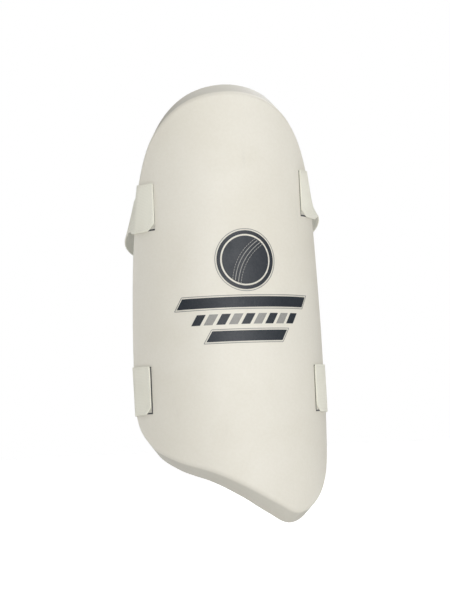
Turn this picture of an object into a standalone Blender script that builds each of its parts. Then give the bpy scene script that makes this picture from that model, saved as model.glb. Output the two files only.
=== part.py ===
"""Moulded cricket thigh guard with two elastic leg straps.

Metres, +Z up the thigh, the outer face towards -Y.  The origin is on the axis of the thigh, at the
middle of the guard.  A place on the guard is given unrolled: s along the curve of the face, z up it,
and a depth under the face.
"""

import math

import bmesh
import bpy
from mathutils import Matrix, Vector

MM = 0.001

# Overall shape
FACE_RADIUS = 103 * MM
TIP = 10
OUTLINE = [(0, 200), (42, 194), (74, 174), (98, 138), (112, 90), (121, 20), (128, -50), (131, -110),
           (123, -158), (98, -190), (64, -204), (37, -194), (6, -177), (-26, -162), (-64, -150),
           (-96, -134), (-116, -106), (-118, -50), (-115, 10), (-108, 70), (-97, 120), (-77, 162),
           (-42, 190)]
OUTLINE_SCALE = 1.0 * MM

# Layers, front to back, and the gap that keeps touching pieces apart
GAP = 0.3 * MM
SKIN = 1.5 * MM
PLATE = 2.5 * MM
CORE = 10 * MM
COMFORT = 5.2 * MM
LINING = 1.0 * MM
TAPE = 1.0 * MM

# Moulded edge of the cover
EDGE_START = -8 * MM
EDGE_ROUND = 12 * MM
WALL_TURN = math.radians(50)
BACK_ROUND = 3 * MM
BORDER_RISE = 2.2 * MM
LIP_END = 2 * MM

# Edges of the pieces inside, measured from the outline
CROWN = -14 * MM
PLATE_EDGE = -10 * MM
SOFT_EDGE = -6 * MM
TAPE_HALF = 4 * MM

# Straps
STRAP_WIDTH = 46.5 * MM
WEBBING = 1.2 * MM
LOOP_TAPE = 0.5 * MM
HOOK_TAPE = 0.5 * MM
TAB_LOW_CORNER = 7 * MM
TAB_HIGH_CORNER = 2 * MM
HOOK_MARGIN = 2 * MM
LOOP_SHOWING = 0.5 * MM
BAND_CLEARANCE = 12 * MM
BAND_SHIFT = 3 * MM
UPPER_SLACK = -1 * MM
LOWER_SLACK = -7 * MM
UPPER_BEHIND = 45 * MM
LOWER_BEHIND = 26 * MM
UPPER_FLARE = 17 * MM
LOWER_FLARE = 1 * MM
REAR_FLARE = 0.3
UPPER_DROOP = math.radians(12)
LOWER_DROOP = math.radians(4)
UPPER_LIFT = 6 * MM
LOWER_LIFT = 0 * MM

# Heights of each strap's left and right tabs, and how far the tabs reach in from the outline
UPPER_Z = (93.5 * MM, 104.5 * MM)
LOWER_Z = (-82 * MM, -86 * MM)
UPPER_TAB_REACH = (29 * MM, 26 * MM)
LOWER_TAB_REACH = (30.5 * MM, 37 * MM)

# Printed film on the face
ROUNDEL_RADIUS = 30 * MM
ROUNDEL_Z = 37 * MM
PRINT_S = 14 * MM
FILM = 0.3 * MM
STRIPE_LENGTHS = (132 * MM, 104 * MM, 76 * MM)
STRIPE_WIDTH = 10 * MM
STRIPE_PITCH = 16 * MM
STRIPE_TOP_Z = -3 * MM
STRIPE_SLANT = 6 * MM

# Mesh density
RUNGS = 24
COLUMNS = 10
CURVE_STEPS = 8
TAB_STEPS = 4
FOLD_STEPS = 8
BAND_STEPS = 26
ROUNDEL_STEPS = 24
STRIPE_STEPS = 16

SHELL_DEPTH = SKIN + GAP
CORE_FRONT = SHELL_DEPTH + PLATE + GAP
CORE_BACK = CORE_FRONT + CORE
BORDER_BACK = CORE_BACK + BORDER_RISE
RIM_DEPTH = BORDER_BACK + GAP + SKIN
COMFORT_FRONT = CORE_BACK + GAP
COMFORT_BACK = COMFORT_FRONT + COMFORT
SOFT_ROUND = COMFORT - BORDER_RISE
HOOK_LEVEL = GAP + LOOP_TAPE + GAP
WEB_LEVEL = HOOK_LEVEL + HOOK_TAPE + GAP


def clear_scene():
    for thing in list(bpy.data.objects):
        bpy.data.objects.remove(thing, do_unlink=True)


def material(name, colour, roughness):
    made = bpy.data.materials.new(name)
    made.use_nodes = True
    shader = made.node_tree.nodes["Principled BSDF"]
    shader.inputs["Base Color"].default_value = (*colour, 1.0)
    shader.inputs["Roughness"].default_value = roughness
    shader.inputs["Metallic"].default_value = 0.0
    return made


def add_object(name, bm, colour, roughness, pivot=None):
    """Makes the closed mesh an object, with its origin at the pivot."""
    bmesh.ops.recalc_face_normals(bm, faces=bm.faces)
    if bm.calc_volume(signed=True) < 0:
        bmesh.ops.reverse_faces(bm, faces=bm.faces)
    origin = pivot if pivot is not None else Vector((0, 0, 0))
    bmesh.ops.translate(bm, verts=bm.verts, vec=-origin)
    mesh = bpy.data.meshes.new(name)
    bm.to_mesh(mesh)
    bm.free()
    mesh.shade_smooth()
    mesh.set_sharp_from_angle(angle=math.radians(40))
    mesh.materials.append(material(name, colour, roughness))
    made = bpy.data.objects.new(name, mesh)
    made.location = origin
    bpy.context.scene.collection.objects.link(made)
    return made


def on_face(s, z, depth):
    """The point at s along the curve, height z, and a depth under the face."""
    angle = s / FACE_RADIUS
    radius = FACE_RADIUS - depth
    return Vector((radius * math.sin(angle), -radius * math.cos(angle), z))


def mix(a, b, t):
    return a + (b - a) * t


# ---- outline of the guard

def curve_between(first, last):
    """Points of the smooth closed outline from one anchor to another."""
    anchors = [Vector(p) * OUTLINE_SCALE for p in OUTLINE]
    count = len(anchors)
    points = []
    for i in range(first, last):
        before, start = anchors[(i - 1) % count], anchors[i % count]
        end, after = anchors[(i + 1) % count], anchors[(i + 2) % count]
        for step in range(CURVE_STEPS):
            t = step / CURVE_STEPS
            pull_out = start + (end - before) / 6
            pull_in = end - (after - start) / 6
            near = mix(start, pull_out, t)
            middle = mix(pull_out, pull_in, t)
            far = mix(pull_in, end, t)
            points.append(mix(mix(near, middle, t), mix(middle, far, t), t))
    points.append(anchors[last % count])
    return points


def spaced(points, count):
    """The same line cut into equal lengths."""
    lengths = [0.0]
    for a, b in zip(points, points[1:]):
        lengths.append(lengths[-1] + (b - a).length)
    cut = []
    k = 0
    for i in range(count + 1):
        target = lengths[-1] * i / count
        while k < len(points) - 2 and lengths[k + 1] < target:
            k += 1
        t = (target - lengths[k]) / (lengths[k + 1] - lengths[k])
        cut.append(mix(points[k], points[k + 1], t))
    return cut


def outline_ring(offset):
    """The outline moved out by the offset: down the right side from the top, and up the left."""
    right = spaced(curve_between(0, TIP), RUNGS)
    left = spaced(curve_between(TIP, len(OUTLINE)), RUNGS)
    base = right[:-1] + left[:-1]
    ring = []
    for i, point in enumerate(base):
        along = base[(i + 1) % len(base)] - base[i - 1]
        outward = Vector((-along.y, along.x)).normalized()
        ring.append(point + outward * offset)
    return ring


def edge_at(z, side):
    """How far along the curve the outline lies at a height, left (-1) or right (1)."""
    if side > 0:
        line = curve_between(0, TIP)
    else:
        line = curve_between(TIP, len(OUTLINE))
        line.reverse()
    for a, b in zip(line, line[1:]):
        if a.y >= z > b.y:
            return mix(a.x, b.x, (a.y - z) / (a.y - b.y))
    return line[-1].x


# ---- layers of the guard

def ring_verts(bm, offset, depth):
    return [bm.verts.new(on_face(p.x, p.y, depth)) for p in outline_ring(offset)]


def fill_crown(bm, ring, offset, depth):
    """Closes a ring with a ladder of quads from its right side to its left."""
    flat = outline_ring(offset)
    rows = [[ring[0]]]
    for i in range(1, RUNGS):
        a, b = flat[i], flat[-i]
        row = [ring[i]]
        for j in range(1, COLUMNS):
            p = mix(a, b, j / COLUMNS)
            row.append(bm.verts.new(on_face(p.x, p.y, depth)))
        row.append(ring[-i])
        rows.append(row)
    rows.append([ring[RUNGS]])
    for upper, lower in zip(rows, rows[1:]):
        for j in range(COLUMNS):
            corners = [upper[min(j, len(upper) - 1)], upper[min(j + 1, len(upper) - 1)],
                       lower[min(j + 1, len(lower) - 1)], lower[min(j, len(lower) - 1)]]
            bm.faces.new(list(dict.fromkeys(corners)))


def join_rings(bm, ring_a, ring_b):
    """Joins two rings with quads, each split along its diagonal from the first ring."""
    count = len(ring_a)
    for i in range(count):
        j = (i + 1) % count
        bm.faces.new([ring_a[i], ring_a[j], ring_b[j], ring_b[i]])


def join_profile(bm, rings, profile):
    """Joins the rings of a profile, always split from the ring nearer the crown, so layers nest."""
    for k, ring in enumerate(rings[:-1]):
        pair = [ring, rings[k + 1]]
        if profile[k][0] > profile[k + 1][0]:
            pair.reverse()
        join_rings(bm, *pair)


def layer(name, profile, colour, roughness):
    """A layer of the guard, from its front crown round its edge to its back crown."""
    bm = bmesh.new()
    rings = [ring_verts(bm, offset, depth) for offset, depth in profile]
    join_profile(bm, rings, profile)
    fill_crown(bm, rings[0], *profile[0])
    fill_crown(bm, rings[-1], *profile[-1])
    return add_object(name, bm, colour, roughness)


def hoop(name, profile, colour, roughness):
    """A closed loop of tape that follows the outline."""
    bm = bmesh.new()
    rings = [ring_verts(bm, offset, depth) for offset, depth in profile]
    join_profile(bm, rings + rings[:1], profile + profile[:1])
    return add_object(name, bm, colour, roughness)


def arc(centre, radius, angles):
    """Points round a centre, with 0 facing the front and a quarter turn facing outwards."""
    return [(centre[0] + radius * math.sin(a), centre[1] - radius * math.cos(a)) for a in angles]


def moulded_edge(inset):
    """The cover's edge in section, pulled in evenly: round front, sloping wall, round back, lip."""
    front_centre = (EDGE_START, EDGE_ROUND)
    wall_start = arc(front_centre, EDGE_ROUND, [WALL_TURN])[0]
    corner_depth = RIM_DEPTH - BACK_ROUND * (1 + math.cos(WALL_TURN))
    wall_length = (corner_depth - wall_start[1]) / math.sin(WALL_TURN)
    corner = wall_start[0] + wall_length * math.cos(WALL_TURN)
    back_centre = (corner - BACK_ROUND * math.sin(WALL_TURN), RIM_DEPTH - BACK_ROUND)
    front = arc(front_centre, EDGE_ROUND - inset, [0, WALL_TURN / 2, WALL_TURN])
    half = (WALL_TURN + math.pi) / 2
    back = arc(back_centre, BACK_ROUND - inset, [WALL_TURN, half, math.pi])
    return [(CROWN, inset)] + front + back


def front_cover():
    outside = moulded_edge(0) + [(LIP_END, RIM_DEPTH)]
    inside = moulded_edge(SKIN) + [(LIP_END, RIM_DEPTH - SKIN)]
    inside.reverse()
    return layer("front_cover", outside + inside, (0.80, 0.78, 0.71), 0.55)


def impact_plate():
    back = SHELL_DEPTH + PLATE
    profile = [(CROWN, SHELL_DEPTH), (PLATE_EDGE, SHELL_DEPTH), (PLATE_EDGE, back), (CROWN, back)]
    return layer("impact_plate", profile, (0.62, 0.64, 0.66), 0.4)


def foam_core():
    step = PLATE_EDGE + GAP
    recess = SOFT_EDGE + GAP
    edge = moulded_edge(SHELL_DEPTH)
    front = [(CROWN, CORE_FRONT), (step, CORE_FRONT), (step, SHELL_DEPTH)]
    back = [(LIP_END, BORDER_BACK), (recess, BORDER_BACK), (recess, CORE_BACK), (CROWN, CORE_BACK)]
    return layer("foam_core", front + edge[1:] + back, (0.85, 0.83, 0.76), 0.8)


def soft_corner(extra, angles):
    """The rounded border of the comfort foam, or of what covers it."""
    centre = (SOFT_EDGE - SOFT_ROUND, COMFORT_BACK - SOFT_ROUND)
    return arc(centre, SOFT_ROUND + extra, angles)


def comfort_foam():
    quarter = math.pi / 2
    corner = soft_corner(0, [quarter, quarter * 1.5, math.pi])
    profile = [(CROWN, COMFORT_FRONT), (SOFT_EDGE, COMFORT_FRONT)] + corner + [(CROWN, COMFORT_BACK)]
    return layer("comfort_foam", profile, (0.72, 0.74, 0.78), 0.9)


def back_lining():
    quarter = math.pi / 2
    inner_radius = SOFT_ROUND + GAP
    outer_radius = inner_radius + LINING
    outer_start = quarter + math.asin(LINING / outer_radius)
    inner = soft_corner(GAP, [math.pi, quarter * 1.5, quarter])
    outer = soft_corner(GAP + LINING, [outer_start, quarter * 1.5, math.pi])
    flat = LIP_END - GAP
    seat = BORDER_BACK + GAP
    front = [(CROWN, COMFORT_BACK + GAP)] + inner + [(flat, seat)]
    back = [(flat, seat + LINING)] + outer + [(CROWN, COMFORT_BACK + GAP + LINING)]
    return layer("back_lining", front + back, (0.03, 0.035, 0.045), 0.9)


def edge_binding():
    front = RIM_DEPTH + GAP
    back = front + TAPE
    near, far = LIP_END - TAPE_HALF, LIP_END + TAPE_HALF
    profile = [(near, front), (LIP_END, front), (far, front), (far, back), (LIP_END, back), (near, back)]
    return hoop("edge_binding", profile, (0.03, 0.035, 0.045), 0.85)


# ---- straps

def close_strip(bm, rows):
    """Skins a strip whose rows each hold inner low, inner high, outer high and outer low corners."""
    rings = [[bm.verts.new(p) for p in row] for row in rows]
    for a, b in zip(rings, rings[1:]):
        join_rings(bm, a, b)
    bm.faces.new(rings[0])
    bm.faces.new(rings[-1])


def face_strip(name, rows, inner, outer, colour, roughness, pivot=None):
    """A strip lying on the face: rows of (low, high) places, raised by inner and outer levels."""
    bm = bmesh.new()
    corners = []
    for low, high in rows:
        corners.append([on_face(*low, -inner), on_face(*high, -inner),
                        on_face(*high, -outer), on_face(*low, -outer)])
    close_strip(bm, corners)
    return add_object(name, bm, colour, roughness, pivot)


def strip_rows(z, side, start, half, corners=None, shorten=0.0):
    """Rows from a strip's free end on the face to where the strap turns over the moulded edge."""
    edges = (z - half, z + half)
    turns = [edge_at(z_edge, side) + side * (EDGE_START - shorten) for z_edge in edges]
    begins = [start, start]
    rows = []
    if corners:
        rows.append([(start, edges[0] + corners[0]), (start, edges[1] - corners[1])])
        begins = [start + side * corner for corner in corners]
    for i in range(TAB_STEPS + 1):
        share = i / TAB_STEPS
        rows.append([(mix(begins[k], turns[k], share), edges[k]) for k in (0, 1)])
    return rows


def strap_place(z_pair, side):
    return z_pair[0] if side < 0 else z_pair[1]


def tab_hinge(z, side):
    """The line that a tab peels about: its outer surface, where it meets the fold."""
    ends = []
    for z_edge in (z - STRAP_WIDTH / 2, z + STRAP_WIDTH / 2):
        turn = edge_at(z_edge, side) + side * EDGE_START
        ends.append(on_face(turn, z_edge, -(WEB_LEVEL + WEBBING)))
    return ends


def strap_end(strap, side, z, reach):
    """The loop patch on the face, and the hook tape and webbing tab that close onto it."""
    prefix = f"{strap}_{'left' if side < 0 else 'right'}"
    end = edge_at(z, side) - side * reach
    half = STRAP_WIDTH / 2
    low, high = tab_hinge(z, side)
    pivot = (low + high) / 2
    patch = strip_rows(z, side, end - side * LOOP_SHOWING, half - LOOP_SHOWING, None, GAP)
    hook = strip_rows(z, side, end + side * GAP, half - HOOK_MARGIN, None, HOOK_MARGIN)
    tab = strip_rows(z, side, end, half, (TAB_LOW_CORNER, TAB_HIGH_CORNER))
    face_strip(f"{prefix}_loop_patch", patch, GAP, GAP + LOOP_TAPE, (0.06, 0.06, 0.065), 0.95)
    face_strip(f"{prefix}_hook_tape", hook, HOOK_LEVEL, HOOK_LEVEL + HOOK_TAPE,
               (0.70, 0.69, 0.64), 0.8, pivot)
    face_strip(f"{prefix}_tab", tab, WEB_LEVEL, WEB_LEVEL + WEBBING, (0.80, 0.78, 0.72), 0.8, pivot)


def rim_back_y(z, side):
    """How far back the moulded edge reaches at a strap."""
    corner = edge_at(z, side) + side * moulded_edge(0)[-2][0]
    return on_face(corner, z, RIM_DEPTH).y


def band_frame(z_pair, droop):
    """The hinge of a band, across the two back edges, and the band's place about it."""
    y = max(rim_back_y(z_pair[0], -1), rim_back_y(z_pair[1], 1))
    pivot = Vector((0, y, (z_pair[0] + z_pair[1]) / 2))
    lean = math.atan2(z_pair[1] - z_pair[0], 2 * FACE_RADIUS)
    turn = Matrix.Rotation(-lean, 4, "Y") @ Matrix.Rotation(-droop, 4, "X")
    return pivot, Matrix.Translation(pivot) @ turn


def band_fit(z_pair, slack, behind, lift):
    """The band's middle, its radius, and how far it lies behind and above its hinge."""
    turns = [sum(tab_hinge(z, side), Vector()).x / 2 for z, side in zip(z_pair, (-1, 1))]
    return sum(turns) / 2 + BAND_SHIFT, (turns[1] - turns[0]) / 2 + slack, behind, lift


def band_row(fit, flare, angle_share, side=1):
    """A section of the band about its hinge: inner low, inner high, outer high, outer low."""
    centre_x, radius, behind, lift = fit
    spread = flare * mix(1.0, REAR_FLARE, math.sin(math.pi * angle_share))
    half = math.sqrt(STRAP_WIDTH ** 2 - spread ** 2) / 2
    row = []
    for wide, high in ((radius + spread, -1), (radius, 1), (radius + WEBBING, 1),
                       (radius + spread + WEBBING, -1)):
        first = math.acos((behind - BAND_CLEARANCE) / wide)
        angle = mix(first, 2 * math.pi - first, angle_share)
        x = centre_x + side * wide * math.sin(angle)
        y = behind - wide * math.cos(angle)
        row.append(Vector((x, y, lift + high * half)))
    return row


def band(strap, z_pair, fit, flare, droop):
    """The elastic loop round the back of the thigh."""
    pivot, place = band_frame(z_pair, droop)
    bm = bmesh.new()
    rows = []
    for i in range(BAND_STEPS + 1):
        rows.append([place @ p for p in band_row(fit, flare, i / BAND_STEPS)])
    close_strip(bm, rows)
    return add_object(f"{strap}_band", bm, (0.80, 0.78, 0.72), 0.8, pivot)


def bezier(points, t):
    near = mix(points[0], points[1], t)
    middle = mix(points[1], points[2], t)
    far = mix(points[2], points[3], t)
    return mix(mix(near, middle, t), mix(middle, far, t), t)


def fold(strap, side, z_pair, fit, flare, droop):
    """The webbing that turns over the moulded edge, from the tab to the band."""
    place = band_frame(z_pair, droop)[1]
    start_row = band_row(fit, flare, 0, side)
    next_row = band_row(fit, flare, 1 / BAND_STEPS, side)
    z = strap_place(z_pair, side)
    half = STRAP_WIDTH / 2
    lines = []
    for k, (level, edge) in enumerate(((WEB_LEVEL, -half), (WEB_LEVEL, half),
                                       (WEB_LEVEL + WEBBING, half), (WEB_LEVEL + WEBBING, -half))):
        turn = edge_at(z + edge, side) + side * (EDGE_START + GAP)
        begin = on_face(turn, z + edge, -level)
        ahead = on_face(turn + side * MM, z + edge, -level) - begin
        finish = place @ start_row[k]
        onward = (place @ next_row[k] - finish).normalized()
        finish = finish - onward * GAP
        reach = (finish - begin).length / 3
        handles = [begin, begin + ahead.normalized() * reach, finish - onward * reach, finish]
        lines.append(handles)
    bm = bmesh.new()
    rows = [[bezier(line, i / FOLD_STEPS) for line in lines] for i in range(FOLD_STEPS + 1)]
    close_strip(bm, rows)
    prefix = f"{strap}_{'left' if side < 0 else 'right'}"
    return add_object(f"{prefix}_fold", bm, (0.80, 0.78, 0.72), 0.8)


def strap(name, z_pair, reaches, fit, flare, droop):
    for side, reach in zip((-1, 1), reaches):
        strap_end(name, side, strap_place(z_pair, side), reach)
        fold(name, side, z_pair, fit, flare, droop)
    band(name, z_pair, fit, flare, droop)


# ---- printed film

def roundel():
    """A round printed badge, as a thin film on the face."""
    bm = bmesh.new()
    rings = []
    for level, share in ((GAP, 1.0), (GAP, 0.5), (GAP + FILM, 0.5), (GAP + FILM, 1.0)):
        ring = []
        for i in range(ROUNDEL_STEPS):
            angle = 2 * math.pi * i / ROUNDEL_STEPS
            s = PRINT_S + ROUNDEL_RADIUS * share * math.cos(angle)
            z = ROUNDEL_Z + ROUNDEL_RADIUS * share * math.sin(angle)
            ring.append(bm.verts.new(on_face(s, z, -level)))
        rings.append(ring)
    join_rings(bm, rings[0], rings[1])
    join_rings(bm, rings[2], rings[3])
    join_rings(bm, rings[3], rings[0])
    for ring, level in ((rings[1], GAP), (rings[2], GAP + FILM)):
        hub = bm.verts.new(on_face(PRINT_S, ROUNDEL_Z, -level))
        for i in range(ROUNDEL_STEPS):
            bm.faces.new([hub, ring[i], ring[(i + 1) % ROUNDEL_STEPS]])
    return add_object("print_roundel", bm, (0.02, 0.026, 0.035), 0.5)


def stripes():
    """Slanted bars of print under the roundel, each shorter than the one above."""
    for n, length in enumerate(STRIPE_LENGTHS):
        z = STRIPE_TOP_Z - n * STRIPE_PITCH
        rows = []
        for i in range(STRIPE_STEPS + 1):
            s = PRINT_S + length * (i / STRIPE_STEPS - 0.5)
            rows.append([(s - STRIPE_SLANT / 2, z - STRIPE_WIDTH / 2),
                         (s + STRIPE_SLANT / 2, z + STRIPE_WIDTH / 2)])
        face_strip(f"print_stripe_{n + 1}", rows, GAP, GAP + FILM, (0.02, 0.026, 0.035), 0.5)


def main():
    clear_scene()
    front_cover()
    impact_plate()
    foam_core()
    comfort_foam()
    back_lining()
    edge_binding()
    upper_fit = band_fit(UPPER_Z, UPPER_SLACK, UPPER_BEHIND, UPPER_LIFT)
    lower_fit = band_fit(LOWER_Z, LOWER_SLACK, LOWER_BEHIND, LOWER_LIFT)
    strap("upper", UPPER_Z, UPPER_TAB_REACH, upper_fit, UPPER_FLARE, UPPER_DROOP)
    strap("lower", LOWER_Z, LOWER_TAB_REACH, lower_fit, LOWER_FLARE, LOWER_DROOP)
    roundel()
    stripes()


main()
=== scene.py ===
"""Moulded cricket thigh guard with two elastic leg straps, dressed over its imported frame.

Metres, +Z up the thigh, the outer face towards -Y.  A place on the guard is given unrolled: s along
the curve of the face, z up it, and a depth under the face, below zero where a piece stands on it.
"""

import logging
import math
from dataclasses import dataclass, field
from enum import Enum

import bmesh
import bpy
import numpy as np
from mathutils import Matrix, Quaternion, Vector
from mathutils.bvhtree import BVHTree


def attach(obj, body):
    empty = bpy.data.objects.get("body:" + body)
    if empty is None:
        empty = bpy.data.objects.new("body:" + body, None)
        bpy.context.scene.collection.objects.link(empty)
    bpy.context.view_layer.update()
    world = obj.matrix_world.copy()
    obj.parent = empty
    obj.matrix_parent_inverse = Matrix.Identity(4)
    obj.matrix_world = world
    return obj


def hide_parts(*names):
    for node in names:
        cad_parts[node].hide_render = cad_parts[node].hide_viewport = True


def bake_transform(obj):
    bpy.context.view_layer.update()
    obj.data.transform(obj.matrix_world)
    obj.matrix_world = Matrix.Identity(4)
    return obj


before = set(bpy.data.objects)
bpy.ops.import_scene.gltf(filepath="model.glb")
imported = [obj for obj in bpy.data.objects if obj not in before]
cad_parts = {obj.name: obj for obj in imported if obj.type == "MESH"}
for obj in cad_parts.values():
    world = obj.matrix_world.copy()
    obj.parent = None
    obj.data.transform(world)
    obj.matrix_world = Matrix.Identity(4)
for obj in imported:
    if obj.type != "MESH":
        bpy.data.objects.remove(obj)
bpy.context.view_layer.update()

MM = 0.001
log = logging.getLogger("thigh_guard")

Colour = tuple[float, float, float]
Points = np.ndarray


class Side(Enum):
    """The wearer's view of the guard from the front: left is towards -X."""

    LEFT = -1
    RIGHT = 1


class Level(Enum):
    """The two straps."""

    UPPER = "upper"
    LOWER = "lower"


# ---- node trees

class NodeSheet:
    """Adds nodes to one tree and links them."""

    def __init__(self, tree: bpy.types.NodeTree) -> None:
        """Keeps the tree to work on."""
        self.tree = tree

    def add(self, kind: str, inputs: dict | None = None, **settings: object) -> bpy.types.Node:
        """Adds a node.

        Args:
            kind: the node's type name.
            inputs: values, or sockets to link, by the input's name or number.
            settings: the node's own properties.

        Returns:
            The new node.
        """
        node = self.tree.nodes.new(kind)
        for name, value in settings.items():
            setattr(node, name, value)
        self.feed(node, inputs or {})
        return node

    def feed(self, node: bpy.types.Node, inputs: dict) -> None:
        """Links sockets into a node's inputs, or sets the inputs to values."""
        for key, value in inputs.items():
            if isinstance(value, bpy.types.NodeSocket):
                self.tree.links.new(value, node.inputs[key])
            else:
                node.inputs[key].default_value = value

    def math(self, operation: str, a: object, b: object = 0.0) -> bpy.types.NodeSocket:
        """Adds a Math node for two values or sockets, and returns its output."""
        return self.add("ShaderNodeMath", {0: a, 1: b}, operation=operation).outputs[0]

    def times(self, a: object, b: object) -> bpy.types.NodeSocket:
        """Multiplies two values or sockets."""
        return self.math("MULTIPLY", a, b)

    def plus(self, a: object, b: object) -> bpy.types.NodeSocket:
        """Adds two values or sockets."""
        return self.math("ADD", a, b)

    def ramp(self, value: bpy.types.NodeSocket, low: float, high: float, start: float = 0.0,
             end: float = 1.0) -> bpy.types.NodeSocket:
        """Turns a range of a value smoothly into another range.

        Args:
            value: the socket to read.
            low: the value that gives start.
            high: the value that gives end.
            start: the result at low.
            end: the result at high.

        Returns:
            The socket of the result.
        """
        settings = {"Value": value, "From Min": low, "From Max": high, "To Min": start, "To Max": end}
        return self.add("ShaderNodeMapRange", settings, interpolation_type="SMOOTHSTEP").outputs[0]

    def tint(self, share: object, a: object, b: object, mode: str = "MIX") -> bpy.types.NodeSocket:
        """Mixes two colours.

        Args:
            share: how much of the second colour.
            a: the first colour or socket.
            b: the second colour or socket.
            mode: the blend mode.

        Returns:
            The mixed colour's socket.
        """
        first, second = (colour if isinstance(colour, bpy.types.NodeSocket) else (*colour, 1.0)
                         for colour in (a, b))
        node = self.add("ShaderNodeMix", {0: share, 6: first, 7: second}, data_type="RGBA", blend_type=mode)
        return node.outputs[2]


@dataclass(frozen=True)
class GroupPlan:
    """A node group's name, kind and sockets, each socket a name, a socket type and a default value."""

    name: str
    kind: str
    takes: tuple[tuple[str, str, object], ...]
    gives: tuple[tuple[str, str], ...]

    def start(self) -> tuple[NodeSheet, bpy.types.NodeOutputs, bpy.types.Node]:
        """Makes the empty group.

        Returns:
            The sheet to add nodes with, the sockets of what the group takes, and its output node.
        """
        tree = bpy.data.node_groups.new(self.name, self.kind)
        for name, socket_type, value in self.takes:
            socket = tree.interface.new_socket(name, in_out="INPUT", socket_type=socket_type)
            if value is not None:
                socket.default_value = value
        for name, socket_type in self.gives:
            tree.interface.new_socket(name, in_out="OUTPUT", socket_type=socket_type)
        sheet = NodeSheet(tree)
        return sheet, sheet.add("NodeGroupInput").outputs, sheet.add("NodeGroupOutput")


FLOAT = "NodeSocketFloat"
VECTOR = "NodeSocketVector"


@dataclass
class Effects:
    """The shader groups that several finishes share."""

    grain: bpy.types.NodeTree = field(init=False)
    weave: bpy.types.NodeTree = field(init=False)
    wear: bpy.types.NodeTree = field(init=False)

    def __post_init__(self) -> None:
        """Builds each group once."""
        self.grain = self.build_grain()
        self.weave = self.build_weave()
        self.wear = self.build_wear()

    def build_grain(self) -> bpy.types.NodeTree:
        """Builds the pebbled grain of moulded skins and films, and returns its tree."""
        plan = GroupPlan("fine_grain", "ShaderNodeTree",
                         (("Vector", VECTOR, None), ("Pebbles", FLOAT, 700.0), ("Softness", FLOAT, 0.6)),
                         (("Height", FLOAT), ("Speckle", FLOAT)))
        sheet, takes, gives = plan.start()
        place = takes["Vector"]
        pebbles = takes["Pebbles"]
        cells = sheet.add("ShaderNodeTexVoronoi", {"Vector": place, "Scale": pebbles}, feature="SMOOTH_F1")
        sheet.feed(cells, {"Smoothness": takes["Softness"]})
        fine = sheet.add("ShaderNodeTexNoise",
                         {"Vector": place, "Scale": sheet.times(pebbles, 1.7), "Detail": 3.0})
        domes = sheet.math("SUBTRACT", 1.0, cells.outputs["Distance"])
        height = sheet.plus(sheet.times(domes, 0.6), sheet.times(fine.outputs["Fac"], 0.4))
        sheet.feed(gives, {"Height": height})
        coarse = sheet.add("ShaderNodeTexNoise",
                           {"Vector": place, "Scale": sheet.times(pebbles, 0.45), "Detail": 2.0})
        sheet.feed(gives, {"Speckle": sheet.ramp(coarse.outputs["Fac"], 0.35, 0.65)})
        return sheet.tree

    def build_weave(self) -> bpy.types.NodeTree:
        """Builds woven ribs that follow a piece's own unrolled places, and returns its tree."""
        plan = GroupPlan("woven_ribs", "ShaderNodeTree",
                         (("Places", VECTOR, None), ("Ribs", FLOAT, 700.0), ("Picks", FLOAT, 900.0),
                          ("Fuzz", FLOAT, 0.15)),
                         (("Height", FLOAT), ("Thread", FLOAT)))
        sheet, takes, gives = plan.start()
        parts = sheet.add("ShaderNodeSeparateXYZ", {0: takes["Places"]})
        across = sheet.times(parts.outputs[1], takes["Ribs"])
        along = sheet.times(parts.outputs[0], takes["Picks"])
        odd = sheet.math("FLOORED_MODULO", sheet.math("FLOOR", across), 2.0)
        shifted = sheet.plus(along, sheet.times(odd, 0.5))
        rib = sheet.math("ABSOLUTE", sheet.math("SINE", sheet.times(across, math.pi)))
        pick = sheet.math("ABSOLUTE", sheet.math("SINE", sheet.times(shifted, math.pi)))
        round_pick = sheet.plus(sheet.times(pick, 0.45), 0.55)
        woven = sheet.times(sheet.math("POWER", rib, 0.6), round_pick)
        fuzz = sheet.add("ShaderNodeTexNoise",
                         {"Vector": takes["Places"], "Scale": 2600.0, "Detail": 2.0})
        height = sheet.plus(woven, sheet.times(fuzz.outputs["Fac"], takes["Fuzz"]))
        sheet.feed(gives, {"Height": height, "Thread": sheet.ramp(woven, 0.15, 0.8)})
        return sheet.tree

    def build_wear(self) -> bpy.types.NodeTree:
        """Builds the soiling and rubbing that handled kit picks up, and returns its tree."""
        plan = GroupPlan("handling_wear", "ShaderNodeTree",
                         (("Vector", VECTOR, None), ("Patches", FLOAT, 14.0), ("Scuffs", FLOAT, 120.0)),
                         (("Soil", FLOAT), ("Rub", FLOAT)))
        sheet, takes, gives = plan.start()
        place = takes["Vector"]
        soft = sheet.add("ShaderNodeTexNoise", {"Vector": place, "Scale": takes["Patches"],
                                                "Detail": 4.0, "Distortion": 0.4})
        sheet.feed(gives, {"Soil": sheet.ramp(soft.outputs["Fac"], 0.38, 0.72)})
        stretched = sheet.add("ShaderNodeMapping", {"Vector": place, "Rotation": (0.3, 0.5, 0.2),
                                                    "Scale": (1.0, 1.0, 0.14)})
        lines = sheet.add("ShaderNodeTexNoise", {"Vector": stretched.outputs[0],
                                                 "Scale": takes["Scuffs"], "Detail": 5.0})
        patchy = sheet.times(sheet.ramp(lines.outputs["Fac"], 0.62, 0.74),
                             sheet.ramp(soft.outputs["Fac"], 0.5, 0.66))
        sheet.feed(gives, {"Rub": patchy})
        return sheet.tree


# ---- finishes

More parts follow.
